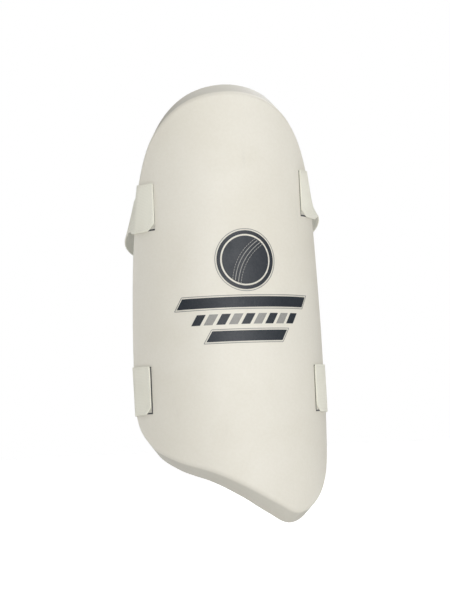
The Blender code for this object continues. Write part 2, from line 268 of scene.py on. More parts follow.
@dataclass(frozen=True)
class Finish:
    """What every finish has: its name, colour, the tone it soils to and its roughness."""

    name: str
    colour: Colour
    soiled: Colour
    roughness: float

    def begin(self) -> tuple[bpy.types.Material, NodeSheet, bpy.types.Node, bpy.types.NodeSocket]:
        """Makes the empty material.

        Returns:
            The material, its sheet, its shader, and the piece's own coordinates.
        """
        made = bpy.data.materials.new(self.name)
        made.use_nodes = True
        made.diffuse_color = (*self.colour, 1.0)
        sheet = NodeSheet(made.node_tree)
        shader = made.node_tree.nodes["Principled BSDF"]
        place = sheet.add("ShaderNodeTexCoord").outputs["Object"]
        return made, sheet, shader, place

    def group(self, sheet: NodeSheet, tree: bpy.types.NodeTree, inputs: dict) -> bpy.types.Node:
        """Places a shared group in the material and returns its node."""
        return sheet.add("ShaderNodeGroup", inputs, node_tree=tree)

    def raise_bump(self, sheet: NodeSheet, shader: bpy.types.Node, height: bpy.types.NodeSocket,
                   distance: float, strength: float = 1.0) -> None:
        """Feeds a height to the shader's normal."""
        bump = sheet.add("ShaderNodeBump", {"Height": height, "Distance": distance, "Strength": strength})
        sheet.feed(shader, {"Normal": bump.outputs["Normal"]})


@dataclass(frozen=True)
class MouldedSkin(Finish):
    """Smooth moulded skin: a fine grain, soft mottling, light soiling, a low satin and a painted shade on its
    rim.
    """

    pebbles: float = 900.0
    grain_depth: float = 0.05 * MM
    scuffed: Colour = (0.62, 0.60, 0.55)
    # Painted shade on the rim: the radii where it starts and ends, and the tone it multiplies in.
    painted_rim_shade_reach: tuple[float, float] = (98.5 * MM, 101.5 * MM)
    painted_rim_shade: Colour = (0.76, 0.76, 0.76)
    soil: float = 0.55
    mottle: float = 0.06
    rub: float = 0.25

    def make(self, effects: Effects) -> bpy.types.Material:
        """Builds the material from the shared effects and returns it."""
        made, sheet, shader, place = self.begin()
        grain = self.group(sheet, effects.grain, {"Vector": place, "Pebbles": self.pebbles})
        wear = self.group(sheet, effects.wear, {"Vector": place, "Patches": 11.0, "Scuffs": 90.0})
        soiled = sheet.tint(sheet.times(wear.outputs["Soil"], self.soil), self.colour, self.soiled)
        speckle = sheet.times(grain.outputs["Speckle"], self.mottle)
        mottled = sheet.tint(speckle, soiled, self.soiled, "MULTIPLY")
        rubbed = sheet.tint(sheet.times(wear.outputs["Rub"], self.rub), mottled, self.scuffed)
        # Painted shade: past the first radius from the axis, the colour is multiplied darker over the rim.
        flat = sheet.add("ShaderNodeVectorMath", {0: place, 1: (1.0, 1.0, 0.0)},
                         operation="MULTIPLY").outputs[0]
        reach = sheet.add("ShaderNodeVectorMath", {0: flat}, operation="LENGTH").outputs["Value"]
        rim = sheet.ramp(reach, self.painted_rim_shade_reach[0], self.painted_rim_shade_reach[1], 1.0, 0.0)
        rim_shaded_colour = sheet.tint(rim, rubbed, self.painted_rim_shade, "MULTIPLY")
        rough = sheet.plus(sheet.times(wear.outputs["Soil"], 0.10), self.roughness)
        sheet.feed(shader, {"Base Color": rim_shaded_colour, "Roughness": rough, "Specular IOR Level": 0.42})
        self.raise_bump(sheet, shader, grain.outputs["Height"], self.grain_depth, 0.6)
        return made


@dataclass(frozen=True)
class WovenTape(Finish):
    """Woven webbing, elastic or binding, ribbed along its own places, with a painted shade in the gaps
    between its ribs.
    """

    ribs: float = 700.0
    picks: float = 900.0
    depth: float = 0.12 * MM
    # Painted shade: the darker colour laid in the gaps between the woven ribs.
    gap: Colour = (0.45, 0.43, 0.38)
    sheen: float = 0.15

    def make(self, effects: Effects) -> bpy.types.Material:
        """Builds the material from the shared effects and returns it."""
        made, sheet, shader, place = self.begin()
        places = sheet.add("ShaderNodeUVMap", uv_map="places").outputs[0]
        weave = self.group(sheet, effects.weave, {"Places": places, "Ribs": self.ribs, "Picks": self.picks})
        wear = self.group(sheet, effects.wear, {"Vector": place, "Patches": 26.0, "Scuffs": 150.0})
        # Painted shade: where the weave sinks between ribs, the colour goes to the gap tone.
        thread = sheet.tint(weave.outputs["Thread"], self.gap, self.colour)
        soiled = sheet.tint(sheet.times(wear.outputs["Soil"], 0.5), thread, self.soiled)
        rough = sheet.math("SUBTRACT", self.roughness, sheet.times(wear.outputs["Rub"], 0.12))
        sheet.feed(shader, {"Base Color": soiled, "Roughness": rough, "Specular IOR Level": 0.3,
                            "Sheen Weight": self.sheen, "Sheen Roughness": 0.5})
        self.raise_bump(sheet, shader, weave.outputs["Height"], self.depth, 0.8)
        return made


@dataclass(frozen=True)
class MeshCloth(Finish):
    """Air-mesh lining: rows of small open holes knitted in a soft dark cloth, the holes painted near black as
    the shade inside them.
    """

    holes: float = 420.0
    depth: float = 0.35 * MM
    # Painted shade: the near-black colour of the knitted holes.
    painted_hole_shade: Colour = (0.004, 0.005, 0.007)

    def make(self, effects: Effects) -> bpy.types.Material:
        """Builds the material from the shared effects and returns it."""
        made, sheet, shader, place = self.begin()
        places = sheet.add("ShaderNodeUVMap", uv_map="places").outputs[0]
        parts = sheet.add("ShaderNodeSeparateXYZ", {0: places})
        row = sheet.times(parts.outputs[1], self.holes)
        odd = sheet.math("FLOORED_MODULO", sheet.math("FLOOR", row), 2.0)
        column = sheet.plus(sheet.times(parts.outputs[0], self.holes), sheet.times(odd, 0.5))
        down = sheet.math("SUBTRACT", sheet.math("FRACT", row), 0.5)
        over = sheet.math("SUBTRACT", sheet.math("FRACT", column), 0.5)
        spread = sheet.plus(sheet.times(down, down), sheet.times(over, over))
        knit = sheet.ramp(sheet.math("SQRT", spread), 0.20, 0.34)
        wear = self.group(sheet, effects.wear, {"Vector": place, "Patches": 30.0, "Scuffs": 140.0})
        cloth = sheet.tint(sheet.times(wear.outputs["Soil"], 0.6), self.colour, self.soiled)
        rough = sheet.math("SUBTRACT", self.roughness, sheet.times(wear.outputs["Rub"], 0.1))
        sheet.feed(shader, {"Base Color": sheet.tint(knit, self.painted_hole_shade, cloth), "Roughness": rough,
                            "Sheen Weight": 0.35, "Sheen Roughness": 0.4})
        fibre = self.group(sheet, effects.grain, {"Vector": place, "Pebbles": 2400.0})
        height = sheet.plus(knit, sheet.times(fibre.outputs["Height"], 0.25))
        self.raise_bump(sheet, shader, height, self.depth, 0.7)
        return made


@dataclass(frozen=True)
class GrainedSolid(Finish):
    """Films, foams, plastics, threads and piles: one colour broken up by grain and wear."""

    pebbles: float = 900.0
    grain_depth: float = 0.05 * MM
    speckle: float = 0.2
    worn: float = 0.3
    sheen: float = 0.0
    specular: float = 0.4

    def make(self, effects: Effects) -> bpy.types.Material:
        """Builds the material from the shared effects and returns it."""
        made, sheet, shader, place = self.begin()
        grain = self.group(sheet, effects.grain, {"Vector": place, "Pebbles": self.pebbles})
        wear = self.group(sheet, effects.wear, {"Vector": place, "Patches": 40.0, "Scuffs": 260.0})
        speckled = sheet.tint(sheet.times(grain.outputs["Speckle"], self.speckle),
                              self.colour, self.soiled)
        rubbed = sheet.tint(sheet.times(wear.outputs["Rub"], self.worn), speckled, self.soiled)
        rough = sheet.plus(sheet.times(wear.outputs["Soil"], 0.12), self.roughness)
        sheet.feed(shader, {"Base Color": rubbed, "Roughness": rough, "Sheen Weight": self.sheen,
                            "Specular IOR Level": self.specular})
        self.raise_bump(sheet, shader, grain.outputs["Height"], self.grain_depth, 0.6)
        return made


@dataclass(frozen=True)
class FinishBook:
    """Every material of the guard, by the record's slot names."""

    cover_skin: bpy.types.Material
    print: bpy.types.Material
    keyline: bpy.types.Material
    webbing: bpy.types.Material
    strap_back: bpy.types.Material
    binding: bpy.types.Material
    lining: bpy.types.Material
    loop_tape: bpy.types.Material
    hook_tape: bpy.types.Material
    plate: bpy.types.Material
    core_foam: bpy.types.Material
    pale_thread: bpy.types.Material
    dark_thread: bpy.types.Material

    @classmethod
    def build(cls, effects: Effects) -> "FinishBook":
        """Builds every finish with the shared effects and returns the book."""
        dark, dark_soiled = (0.020, 0.025, 0.033), (0.060, 0.066, 0.075)
        return cls(
            cover_skin=MouldedSkin("cover_skin", (0.800, 0.772, 0.690), (0.742, 0.708, 0.612),
                                   0.46).make(effects),
            print=GrainedSolid("print", dark, (0.085, 0.090, 0.098), 0.42, pebbles=1500.0,
                               grain_depth=0.03 * MM, speckle=0.12, worn=0.55).make(effects),
            keyline=GrainedSolid("keyline", (0.30, 0.295, 0.28), (0.45, 0.44, 0.41), 0.45,
                                 pebbles=1500.0, grain_depth=0.03 * MM).make(effects),
            webbing=WovenTape("webbing", (0.880, 0.868, 0.765), (0.800, 0.780, 0.675), 0.78,
                              gap=(0.82, 0.805, 0.70), sheen=0.03).make(effects),
            strap_back=WovenTape("strap_back", dark, dark_soiled, 0.85,
                                 gap=(0.006, 0.008, 0.01)).make(effects),
            binding=WovenTape("binding", dark, dark_soiled, 0.80, ribs=900.0, picks=620.0,
                              gap=(0.006, 0.008, 0.01)).make(effects),
            lining=MeshCloth("lining", (0.085, 0.093, 0.110), (0.140, 0.147, 0.158), 0.88).make(effects),
            loop_tape=GrainedSolid("loop_tape", (0.030, 0.031, 0.034), (0.085, 0.084, 0.080), 0.92,
                                   pebbles=1300.0, grain_depth=0.3 * MM, speckle=0.5,
                                   sheen=0.4).make(effects),
            hook_tape=GrainedSolid("hook_tape", (0.62, 0.60, 0.53), (0.50, 0.48, 0.42), 0.42,
                                   pebbles=900.0, specular=0.5).make(effects),
            plate=GrainedSolid("plate", (0.62, 0.64, 0.66), (0.50, 0.52, 0.54), 0.35,
                               pebbles=350.0, grain_depth=0.04 * MM).make(effects),
            core_foam=GrainedSolid("core_foam", (0.80, 0.77, 0.66), (0.66, 0.62, 0.50), 0.90,
                                   pebbles=650.0, grain_depth=0.35 * MM, speckle=0.6).make(effects),
            pale_thread=GrainedSolid("pale_thread", (0.78, 0.755, 0.68), (0.60, 0.57, 0.50), 0.65,
                                     pebbles=3500.0, grain_depth=0.08 * MM, sheen=0.2).make(effects),
            dark_thread=GrainedSolid("dark_thread", (0.035, 0.040, 0.048), (0.10, 0.105, 0.11), 0.60,
                                     pebbles=3500.0, grain_depth=0.08 * MM, sheen=0.2).make(effects))


# ---- patterns that repeat

@dataclass
class Patterns:
    """The Geometry Nodes trees for stitching and for hook and loop pile."""

    stitches: bpy.types.NodeTree = field(init=False)
    pile: bpy.types.NodeTree = field(init=False)

    def __post_init__(self) -> None:
        """Builds each tree once."""
        self.stitches = self.build_stitches()
        self.pile = self.build_pile()

    def build_stitches(self) -> bpy.types.NodeTree:
        """Builds the tree that sews one thread along each line, and returns it."""
        plan = GroupPlan("sewn_line", "GeometryNodeTree",
                         (("Geometry", "NodeSocketGeometry", None), ("Pitch", FLOAT, 3 * MM),
                          ("Length", FLOAT, 2.4 * MM), ("Width", FLOAT, 0.5 * MM),
                          ("Height", FLOAT, 0.35 * MM), ("Lean", FLOAT, 0.0), ("Wander", FLOAT, 0.06),
                          ("Seed", "NodeSocketInt", 7), ("Finish", "NodeSocketMaterial", None)),
                         (("Geometry", "NodeSocketGeometry"),))
        sheet, takes, gives = plan.start()
        curve = sheet.add("GeometryNodeMeshToCurve", {"Mesh": takes["Geometry"]})
        even = sheet.add("GeometryNodeResampleCurve",
                         {"Curve": curve.outputs[0], "Length": takes["Pitch"]}, mode="LENGTH")
        up = sheet.add("GeometryNodeInputNamedAttribute", {"Name": "up"}, data_type="FLOAT_VECTOR")
        stand = sheet.add("FunctionNodeAlignRotationToVector", {"Vector": up.outputs["Attribute"]}, axis="Z")
        tangent = sheet.add("GeometryNodeInputTangent")
        follow = sheet.add("FunctionNodeAlignRotationToVector",
                           {"Rotation": stand.outputs[0], "Vector": tangent.outputs[0]},
                           axis="X", pivot_axis="Z")
        parity = sheet.math("FLOORED_MODULO", sheet.add("GeometryNodeInputIndex").outputs[0], 2.0)
        swing = sheet.times(sheet.math("SUBTRACT", sheet.times(parity, 2.0), 1.0), takes["Lean"])
        loose = sheet.add("FunctionNodeRandomValue",
                          {2: sheet.times(takes["Wander"], -1.0),
                           3: takes["Wander"], "Seed": takes["Seed"]}, data_type="FLOAT")
        angle = sheet.plus(swing, loose.outputs[1])
        turn = sheet.add("FunctionNodeAxisAngleToRotation", {"Axis": (0.0, 0.0, 1.0), "Angle": angle})
        lie = sheet.add("FunctionNodeRotateRotation",
                        {"Rotation": follow.outputs[0], "Rotate By": turn.outputs[0]}, rotation_space="LOCAL")
        size = sheet.add("ShaderNodeCombineXYZ", {0: takes["Length"], 1: takes["Width"],
                                                  2: takes["Height"]})
        thread = sheet.add("GeometryNodeMeshUVSphere", {"Segments": 6, "Rings": 4, "Radius": 0.5})
        placed = sheet.add("GeometryNodeInstanceOnPoints",
                           {"Points": even.outputs[0], "Instance": thread.outputs[0],
                            "Rotation": lie.outputs[0], "Scale": size.outputs[0]})
        self.close(sheet, takes, gives, placed.outputs[0])
        return sheet.tree

    def build_pile(self) -> bpy.types.NodeTree:
        """Builds the tree that stands small hooks or loops on a surface, and returns it."""
        plan = GroupPlan("standing_pile", "GeometryNodeTree",
                         (("Geometry", "NodeSocketGeometry", None), ("Spacing", FLOAT, 1.1 * MM),
                          ("Density", FLOAT, 900000.0), ("Size", FLOAT, 0.3 * MM),
                          ("Thread", FLOAT, 0.16), ("Sweep", FLOAT, 3.4),
                          ("Seed", "NodeSocketInt", 11), ("Finish", "NodeSocketMaterial", None)),
                         (("Geometry", "NodeSocketGeometry"),))
        sheet, takes, gives = plan.start()
        spots = sheet.add("GeometryNodeDistributePointsOnFaces",
                          {"Mesh": takes["Geometry"], "Distance Min": takes["Spacing"],
                           "Density Max": takes["Density"], "Seed": takes["Seed"]},
                          distribute_method="POISSON")
        path = sheet.add("GeometryNodeCurveArc", {"Resolution": 6, "Radius": 1.0,
                                                  "Sweep Angle": takes["Sweep"]}, mode="RADIUS")
        ring = sheet.add("GeometryNodeCurvePrimitiveCircle",
                         {"Resolution": 3, "Radius": takes["Thread"]}, mode="RADIUS")
        hook = sheet.add("GeometryNodeCurveToMesh",
                         {"Curve": path.outputs[0], "Profile Curve": ring.outputs[0], "Fill Caps": True})
        stood = sheet.add("GeometryNodeTransform", {"Geometry": hook.outputs[0],
                                                    "Rotation": (math.pi / 2, 0.0, 0.0)})
        yaw = sheet.add("FunctionNodeRandomValue", {2: 0.0, 3: 2 * math.pi, "Seed": takes["Seed"]},
                        data_type="FLOAT")
        turn = sheet.add("FunctionNodeAxisAngleToRotation",
                         {"Axis": (0.0, 0.0, 1.0), "Angle": yaw.outputs[1]})
        lie = sheet.add("FunctionNodeRotateRotation",
                        {"Rotation": spots.outputs["Rotation"], "Rotate By": turn.outputs[0]},
                        rotation_space="LOCAL")
        size = sheet.add("ShaderNodeCombineXYZ", {0: takes["Size"], 1: takes["Size"], 2: takes["Size"]})
        placed = sheet.add("GeometryNodeInstanceOnPoints",
                           {"Points": spots.outputs["Points"], "Instance": stood.outputs[0],
                            "Rotation": lie.outputs[0], "Scale": size.outputs[0]})
        self.close(sheet, takes, gives, placed.outputs[0])
        return sheet.tree

    def close(self, sheet: NodeSheet, takes: bpy.types.NodeOutputs, gives: bpy.types.Node,
              placed: bpy.types.NodeSocket) -> None:
        """Ends a tree: its instances become real and take their finish."""
        real = sheet.add("GeometryNodeRealizeInstances", {"Geometry": placed})
        dressed = sheet.add("GeometryNodeSetMaterial", {"Geometry": real.outputs[0],
                                                        "Material": takes["Finish"]})
        sheet.feed(gives, {"Geometry": dressed.outputs[0]})

    def apply(self, carrier: bpy.types.Object, tree: bpy.types.NodeTree, name: str,
              values: dict[str, object]) -> bpy.types.Object:
        """Runs a tree on a carrier and keeps only the plain mesh that it makes.

        Args:
            carrier: the lines or faces that the pattern follows, removed afterwards.
            tree: the pattern's tree.
            name: the new piece's name.
            values: the tree's inputs by name.

        Returns:
            The new piece.
        """
        modifier = carrier.modifiers.new("pattern", "NODES")
        modifier.node_group = tree
        for item in tree.interface.items_tree:
            if item.item_type == "SOCKET" and item.in_out == "INPUT" and item.name in values:
                modifier[item.identifier] = values[item.name]
        depsgraph = bpy.context.evaluated_depsgraph_get()
        mesh = bpy.data.meshes.new_from_object(carrier.evaluated_get(depsgraph), depsgraph=depsgraph)
        bpy.data.objects.remove(carrier, do_unlink=True)
        mesh.name = name
        mesh.shade_smooth()
        made = add_object(name, mesh)
        log.info("%s: %d faces", name, len(mesh.polygons))
        return made

    def sew(self, name: str, lines: list[tuple[Points, Points]], closed: bool, thread: bpy.types.Material,
            **values: float) -> bpy.types.Object:
        """Sews along lines.

        Args:
            name: the new piece's name.
            lines: for each line, its points and the direction that is up at each.
            closed: True joins each line's end to its start.
            thread: the thread's material.
            values: the tree's other inputs.

        Returns:
            The stitches as one piece.
        """
        points: list[Points] = []
        edges: list[tuple[int, int]] = []
        for line, _ in lines:
            first = sum(len(p) for p in points)
            edges += [(first + i, first + i + 1) for i in range(len(line) - 1)]
            edges += [(first + len(line) - 1, first)] if closed else []
            points.append(line)
        mesh = bpy.data.meshes.new(name)
        mesh.from_pydata(np.vstack(points).tolist(), edges, [])
        up = mesh.attributes.new("up", "FLOAT_VECTOR", "POINT")
        up.data.foreach_set("vector", np.vstack([u for _, u in lines]).astype(np.float32).ravel())
        carrier = add_object(name + "_line", mesh)
        return self.apply(carrier, self.stitches, name, {"Finish": thread, **values})


# ---- meshes

def mix(a: Points | float, b: Points | float, share: Points | float) -> Points | float:
    """Goes a share of the way from a to b."""
    return a + (b - a) * share


def add_object(name: str, data: bpy.types.ID) -> bpy.types.Object:
    """Adds an object with its data to the scene, and returns it."""
    made = bpy.data.objects.new(name, data)
    bpy.context.scene.collection.objects.link(made)
    return made


def unit(vectors: Points) -> Points:
    """Scales vectors to a length of 1."""
    return vectors / np.maximum(np.linalg.norm(vectors, axis=-1, keepdims=True), 1e-12)


def cut_evenly(line: Points, count: int) -> Points:
    """Cuts a line into equal lengths.

    Args:
        line: the points of the line.
        count: how many lengths.

    Returns:
        One more point than lengths.
    """
    steps = np.linalg.norm(np.diff(line, axis=0), axis=1)
    run = np.concatenate([[0.0], np.cumsum(steps)])
    wanted = np.linspace(0.0, run[-1], count + 1)
    return np.stack([np.interp(wanted, run, line[:, k]) for k in range(line.shape[1])], axis=1)


@dataclass
class MeshPlan:
    """The sheets of points that make up one piece."""

    points: list[Points] = field(default_factory=list)
    places: list[Points] = field(default_factory=list)
    held: list[Points] = field(default_factory=list)
    faces: list[Points] = field(default_factory=list)
    slots: list[Points] = field(default_factory=list)

    def sheet(self, points: Points, places: Points, slot: int | Points = 0,
              held: Points | float = 1.0) -> None:
        """Adds a sheet of quads.

        Args:
            points: rows and columns of points.
            places: the unrolled place of each point.
            slot: the finish of the sheet, or of each of its faces.
            held: 1 where a cloth simulation may not move a point.
        """
        rows, columns = points.shape[:2]
        first = sum(len(p) for p in self.points)
        index = np.arange(rows * columns).reshape(rows, columns) + first
        quads = np.stack([index[:-1, :-1], index[:-1, 1:], index[1:, 1:], index[1:, :-1]], axis=-1)
        self.points.append(points.reshape(-1, 3))
        self.places.append(np.broadcast_to(places, (rows, columns, 2)).reshape(-1, 2))
        self.held.append(np.broadcast_to(held, (rows, columns)).reshape(-1))
        self.faces.append(quads.reshape(-1, 4))
        self.slots.append(np.broadcast_to(slot, (rows - 1, columns - 1)).reshape(-1))

    def wall(self, top: Points, bottom: Points, places: Points, slot: int = 0) -> None:
        """Adds a wall between two lines of points."""
        self.sheet(np.stack([top, bottom]), np.stack([places] * 2), slot)

    def slab(self, top: Points, bottom: Points, places: Points, slot: int = 0) -> None:
        """Adds a closed slab between two sheets, with a wall round its edge."""
        self.sheet(top, places, slot)
        self.sheet(bottom, places, slot)
        for edge in (np.s_[0], np.s_[-1], np.s_[:, 0], np.s_[:, -1]):
            self.wall(top[edge], bottom[edge], places[edge], slot)

    def build(self, name: str, finishes: list[bpy.types.Material], sharp: float = 40.0) -> bpy.types.Object:
        """Welds the sheets into one closed mesh.

        Args:
            name: the piece's name.
            finishes: the piece's materials, by slot number.
            sharp: the angle past which an edge is shaded sharp, in degrees.

        Returns:
            The piece.
        """
        mesh = bpy.data.meshes.new(name)
        mesh.from_pydata(np.vstack(self.points).tolist(), [], np.vstack(self.faces).tolist())
        places = np.vstack(self.places).astype(np.float32)
        corners = np.empty(len(mesh.loops), np.int32)
        mesh.loops.foreach_get("vertex_index", corners)
        mesh.uv_layers.new(name="places").data.foreach_set("uv", places[corners].ravel())
        mesh.polygons.foreach_set("material_index", np.concatenate(self.slots).astype(np.int32))
        held = mesh.attributes.new("held", "FLOAT", "POINT")
        held.data.foreach_set("value", np.concatenate(self.held).astype(np.float32))
        for finish in finishes:
            mesh.materials.append(finish)
        bm = bmesh.new()
        bm.from_mesh(mesh)
        bmesh.ops.remove_doubles(bm, verts=bm.verts, dist=1e-6)
        self.split_corners(bm)
        bmesh.ops.recalc_face_normals(bm, faces=bm.faces)
        bm.to_mesh(mesh)
        open_edges = sum(1 for edge in bm.edges if not edge.is_manifold)
        bm.free()
        mesh.shade_smooth()
        mesh.set_sharp_from_angle(angle=math.radians(sharp))
        made = add_object(name, mesh)
        log.info("%s: %d faces, %d open edges", name, len(mesh.polygons), open_edges)
        return made

    @staticmethod
    def split_corners(bm: bmesh.types.BMesh) -> None:
        """Splits the two quads that meet at a thin corner through it, so their triangles can't coincide."""
        for corner in [vert for vert in bm.verts if len(vert.link_edges) == 2]:
            for face in list(corner.link_faces):
                verts = list(face.verts)
                if len(verts) == 4:
                    bmesh.utils.face_split(face, corner, verts[(verts.index(corner) + 2) % 4])


@dataclass(frozen=True)
class GuardSurface:
    """The curved face of the guard, its outline, and its layers and edge in section."""

    face_radius: float = 103 * MM
    outline: tuple[tuple[float, float], ...] = (
        (0, 200), (42, 194), (74, 174), (98, 138), (112, 90), (121, 20), (128, -50), (131, -110),
        (123, -158), (98, -190), (64, -204), (37, -194), (6, -177), (-26, -162), (-64, -150),
        (-96, -134), (-116, -106), (-118, -50), (-115, 10), (-108, 70), (-97, 120), (-77, 162),
        (-42, 190))
    tip: int = 10
    rungs: int = 150
    columns: int = 56
    curve_steps: int = 16
    skin: float = 1.5 * MM
    gap: float = 0.3 * MM
    rim_depth: float = 18.6 * MM
    edge_start: float = -8 * MM
    edge_round: float = 12 * MM
    crisp_round: float = 5 * MM
    wall_turn: float = math.radians(50)
    back_round: float = 3 * MM
    crown: float = -14 * MM
    lip_end: float = 2 * MM

    def on_face(self, s: Points, z: Points, depth: Points | float) -> Points:
        """The points at s along the curve, height z, and a depth under the face."""
        angle = np.asarray(s) / self.face_radius
        radius = self.face_radius - depth
        parts = np.broadcast_arrays(radius * np.sin(angle), -radius * np.cos(angle), z)
        return np.stack(parts, axis=-1)

    def outward(self, s: Points) -> Points:
        """The direction straight out of the face."""
        angle = np.asarray(s) / self.face_radius
        return np.stack([np.sin(angle), -np.cos(angle), np.zeros_like(angle)], axis=-1)

    def curve_between(self, first: int, last: int) -> Points:
        """The smooth outline from one anchor to another.

        Args:
            first: the first anchor's number.
            last: the last anchor's number.

        Returns:
            The line's unrolled places.
        """
        anchors = np.array(self.outline) * MM
        count = len(anchors)
        shares = np.arange(self.curve_steps)[:, None] / self.curve_steps
        parts = []
        for i in range(first, last):
            before, start, end, after = (anchors[(i + k) % count] for k in (-1, 0, 1, 2))
            parts.append(bezier([start, start + (end - before) / 6, end - (after - start) / 6, end], shares))
        return np.vstack(parts + [anchors[last % count][None]])

    def ring(self, offset: float, rungs: int = 0) -> Points:
        """The outline moved out by an offset, down the right side from the top and up the left.

        Args:
            offset: how far out.
            rungs: how many lengths each side is cut into, or 0 for the surface's own count.

        Returns:
            The ring's unrolled places, closed by its first place.
        """
        count = rungs or self.rungs
        right = cut_evenly(self.curve_between(0, self.tip), count)
        left = cut_evenly(self.curve_between(self.tip, len(self.outline)), count)
        base = np.vstack([right[:-1], left[:-1]])
        along = np.roll(base, -1, axis=0) - np.roll(base, 1, axis=0)
        moved = base + unit(np.stack([-along[:, 1], along[:, 0]], axis=1)) * offset
        return np.vstack([moved, moved[:1]])

    def inside(self, offset: float, rungs: int = 0, columns: int = 0) -> Points:
        """A ladder of places that fills a ring from its right side to its left."""
        ring = self.ring(offset, rungs)
        half = len(ring) // 2
        right, left = ring[:half + 1], ring[:half - 1:-1]
        shares = np.linspace(0.0, 1.0, (columns or self.columns) + 1)[None, :, None]
        return mix(right[:, None], left[:, None], shares)

    def edge_at(self, z: Points | float, side: Side) -> Points | float:
        """How far along the curve the outline lies at a height."""
        if side is Side.RIGHT:
            line = self.curve_between(0, self.tip)[::-1]
        else:
            line = self.curve_between(self.tip, len(self.outline))
        return np.interp(z, line[:, 1], line[:, 0])

    def turn_at(self, z: float, side: Side) -> float:
        """Where along the curve a strap turns over the edge, at a height."""
        return float(self.edge_at(z, side)) + side.value * self.edge_start

    def at(self, places: Points, depth: Points | float) -> Points:
        """The points of unrolled places at a depth under the face."""
        return self.on_face(places[..., 0], places[..., 1], depth)

    def arc(self, centre: tuple[float, float], radius: float, first: float, last: float, steps: int) -> list:
        """Places of a section round a centre, from one angle to another."""
        angles = np.linspace(first, last, steps + 1)
        return [(centre[0] + radius * math.sin(a), centre[1] - radius * math.cos(a)) for a in angles]

    def moulded_edge(self, inset: float, steps: int = 10) -> list[tuple[float, float]]:
        """The cover's edge in section: round front, sloping wall, round back, lip.

        Args:
            inset: how far inside the outer surface.
            steps: how many lengths make each round.

        Returns:
            Offsets from the outline, with depths.
        """
        tighter = (self.edge_round - self.crisp_round) * math.tan(self.wall_turn / 2)
        front_centre = (self.edge_start + tighter, self.crisp_round)
        wall = self.arc(front_centre, self.crisp_round, self.wall_turn, self.wall_turn, 0)[0]
        corner_depth = self.rim_depth - self.back_round * (1 + math.cos(self.wall_turn))
        length = (corner_depth - wall[1]) / math.sin(self.wall_turn)
        corner = wall[0] + length * math.cos(self.wall_turn)
        back_centre = (corner - self.back_round * math.sin(self.wall_turn), self.rim_depth - self.back_round)
        start = [(self.crown, inset), (self.edge_start, inset)]
        front = self.arc(front_centre, self.crisp_round - inset, 0.0, self.wall_turn, steps)
        back = self.arc(back_centre, self.back_round - inset, self.wall_turn, math.pi, steps)
        return start + front + back + [(self.lip_end, self.rim_depth - inset)]


def bezier(points: list[Points], share: Points | float) -> Points:
    """A place along a cubic curve of four points."""
    near = mix(points[0], points[1], share)
    middle = mix(points[1], points[2], share)
    far = mix(points[2], points[3], share)
    return mix(mix(near, middle, share), mix(middle, far, share), share)


# ---- the guard's own layers

@dataclass
class ShellCover:
    """The moulded outer skin, with the slight unevenness of a hand-trimmed moulding."""

    surface: GuardSurface
    ripple: float = 0.12 * MM
    dents: tuple[tuple[float, float, float, float], ...] = (
        (-91 * MM, -114 * MM, 3.2 * MM, 0.5 * MM), (60 * MM, 150 * MM, 9 * MM, 0.25 * MM),
        (-60 * MM, 60 * MM, 14 * MM, 0.2 * MM))
    crease: tuple[tuple[float, float], tuple[float, float]] = ((2 * MM, -183 * MM), (26 * MM, -200 * MM))
    crease_depth: float = 0.5 * MM
    crease_width: float = 1.6 * MM

    def relief(self, s: Points, z: Points) -> Points:
        """How far the skin lies under its even surface at a place."""
        waves = np.sin(s * 61 + z * 23) * np.sin(z * 47 - s * 19 + 1.3) + 0.5 * np.sin(s * 118 - z * 83 + 0.4)
        sunk = self.ripple * waves
        for dent_s, dent_z, reach, depth in self.dents:
            sunk = sunk + depth * np.exp(-((s - dent_s) ** 2 + (z - dent_z) ** 2) / reach ** 2)
        start, end = (np.array(p) for p in self.crease)
        along = (end - start) / np.dot(end - start, end - start)
        share = np.clip((s - start[0]) * along[0] + (z - start[1]) * along[1], 0.0, 1.0)
        gap = np.hypot(s - mix(start[0], end[0], share), z - mix(start[1], end[1], share))
        faded = np.sin(np.pi * np.clip(share, 0.05, 0.95))
        return sunk + self.crease_depth * np.exp(-(gap / self.crease_width) ** 2) * faded

    def build(self, book: FinishBook) -> None:
        """Builds the skin as one closed shell and puts it in place of its plain solid."""
        plan = MeshPlan()
        outside, inner = self.surface.moulded_edge(0.0), self.surface.moulded_edge(self.surface.skin)
        for profile, shaped in ((outside, True), (inner, False)):
            self.add_side(plan, profile, shaped)
        lip = self.surface.ring(self.surface.lip_end)
        wall = [self.surface.at(lip, profile[-1][1]) for profile in (outside, inner)]
        plan.sheet(np.stack(wall), lip)
        cover = plan.build("moulded_cover", [book.cover_skin])
        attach(cover, "pad")
        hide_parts("front_cover")

    def add_side(self, plan: MeshPlan, profile: list[tuple[float, float]], shaped: bool) -> None:
        """Adds one side of the skin, from its crown round to its lip."""
        rings = np.stack([self.surface.ring(offset) for offset, _ in profile])
        depths = np.array([depth for _, depth in profile])[:, None]
        fade = np.clip((self.surface.rim_depth - depths) / self.surface.rim_depth, 0.0, 1.0)
        sunk = self.relief(rings[..., 0], rings[..., 1]) * fade if shaped else 0.0
        plan.sheet(self.surface.at(rings, depths + sunk), rings)
        crown = self.surface.inside(profile[0][0])
        share = np.clip((self.surface.rim_depth - profile[0][1]) / self.surface.rim_depth, 0.0, 1.0)
        sunk = self.relief(crown[..., 0], crown[..., 1]) * share if shaped else 0.0
        plan.sheet(self.surface.at(crown, profile[0][1] + sunk), crown)


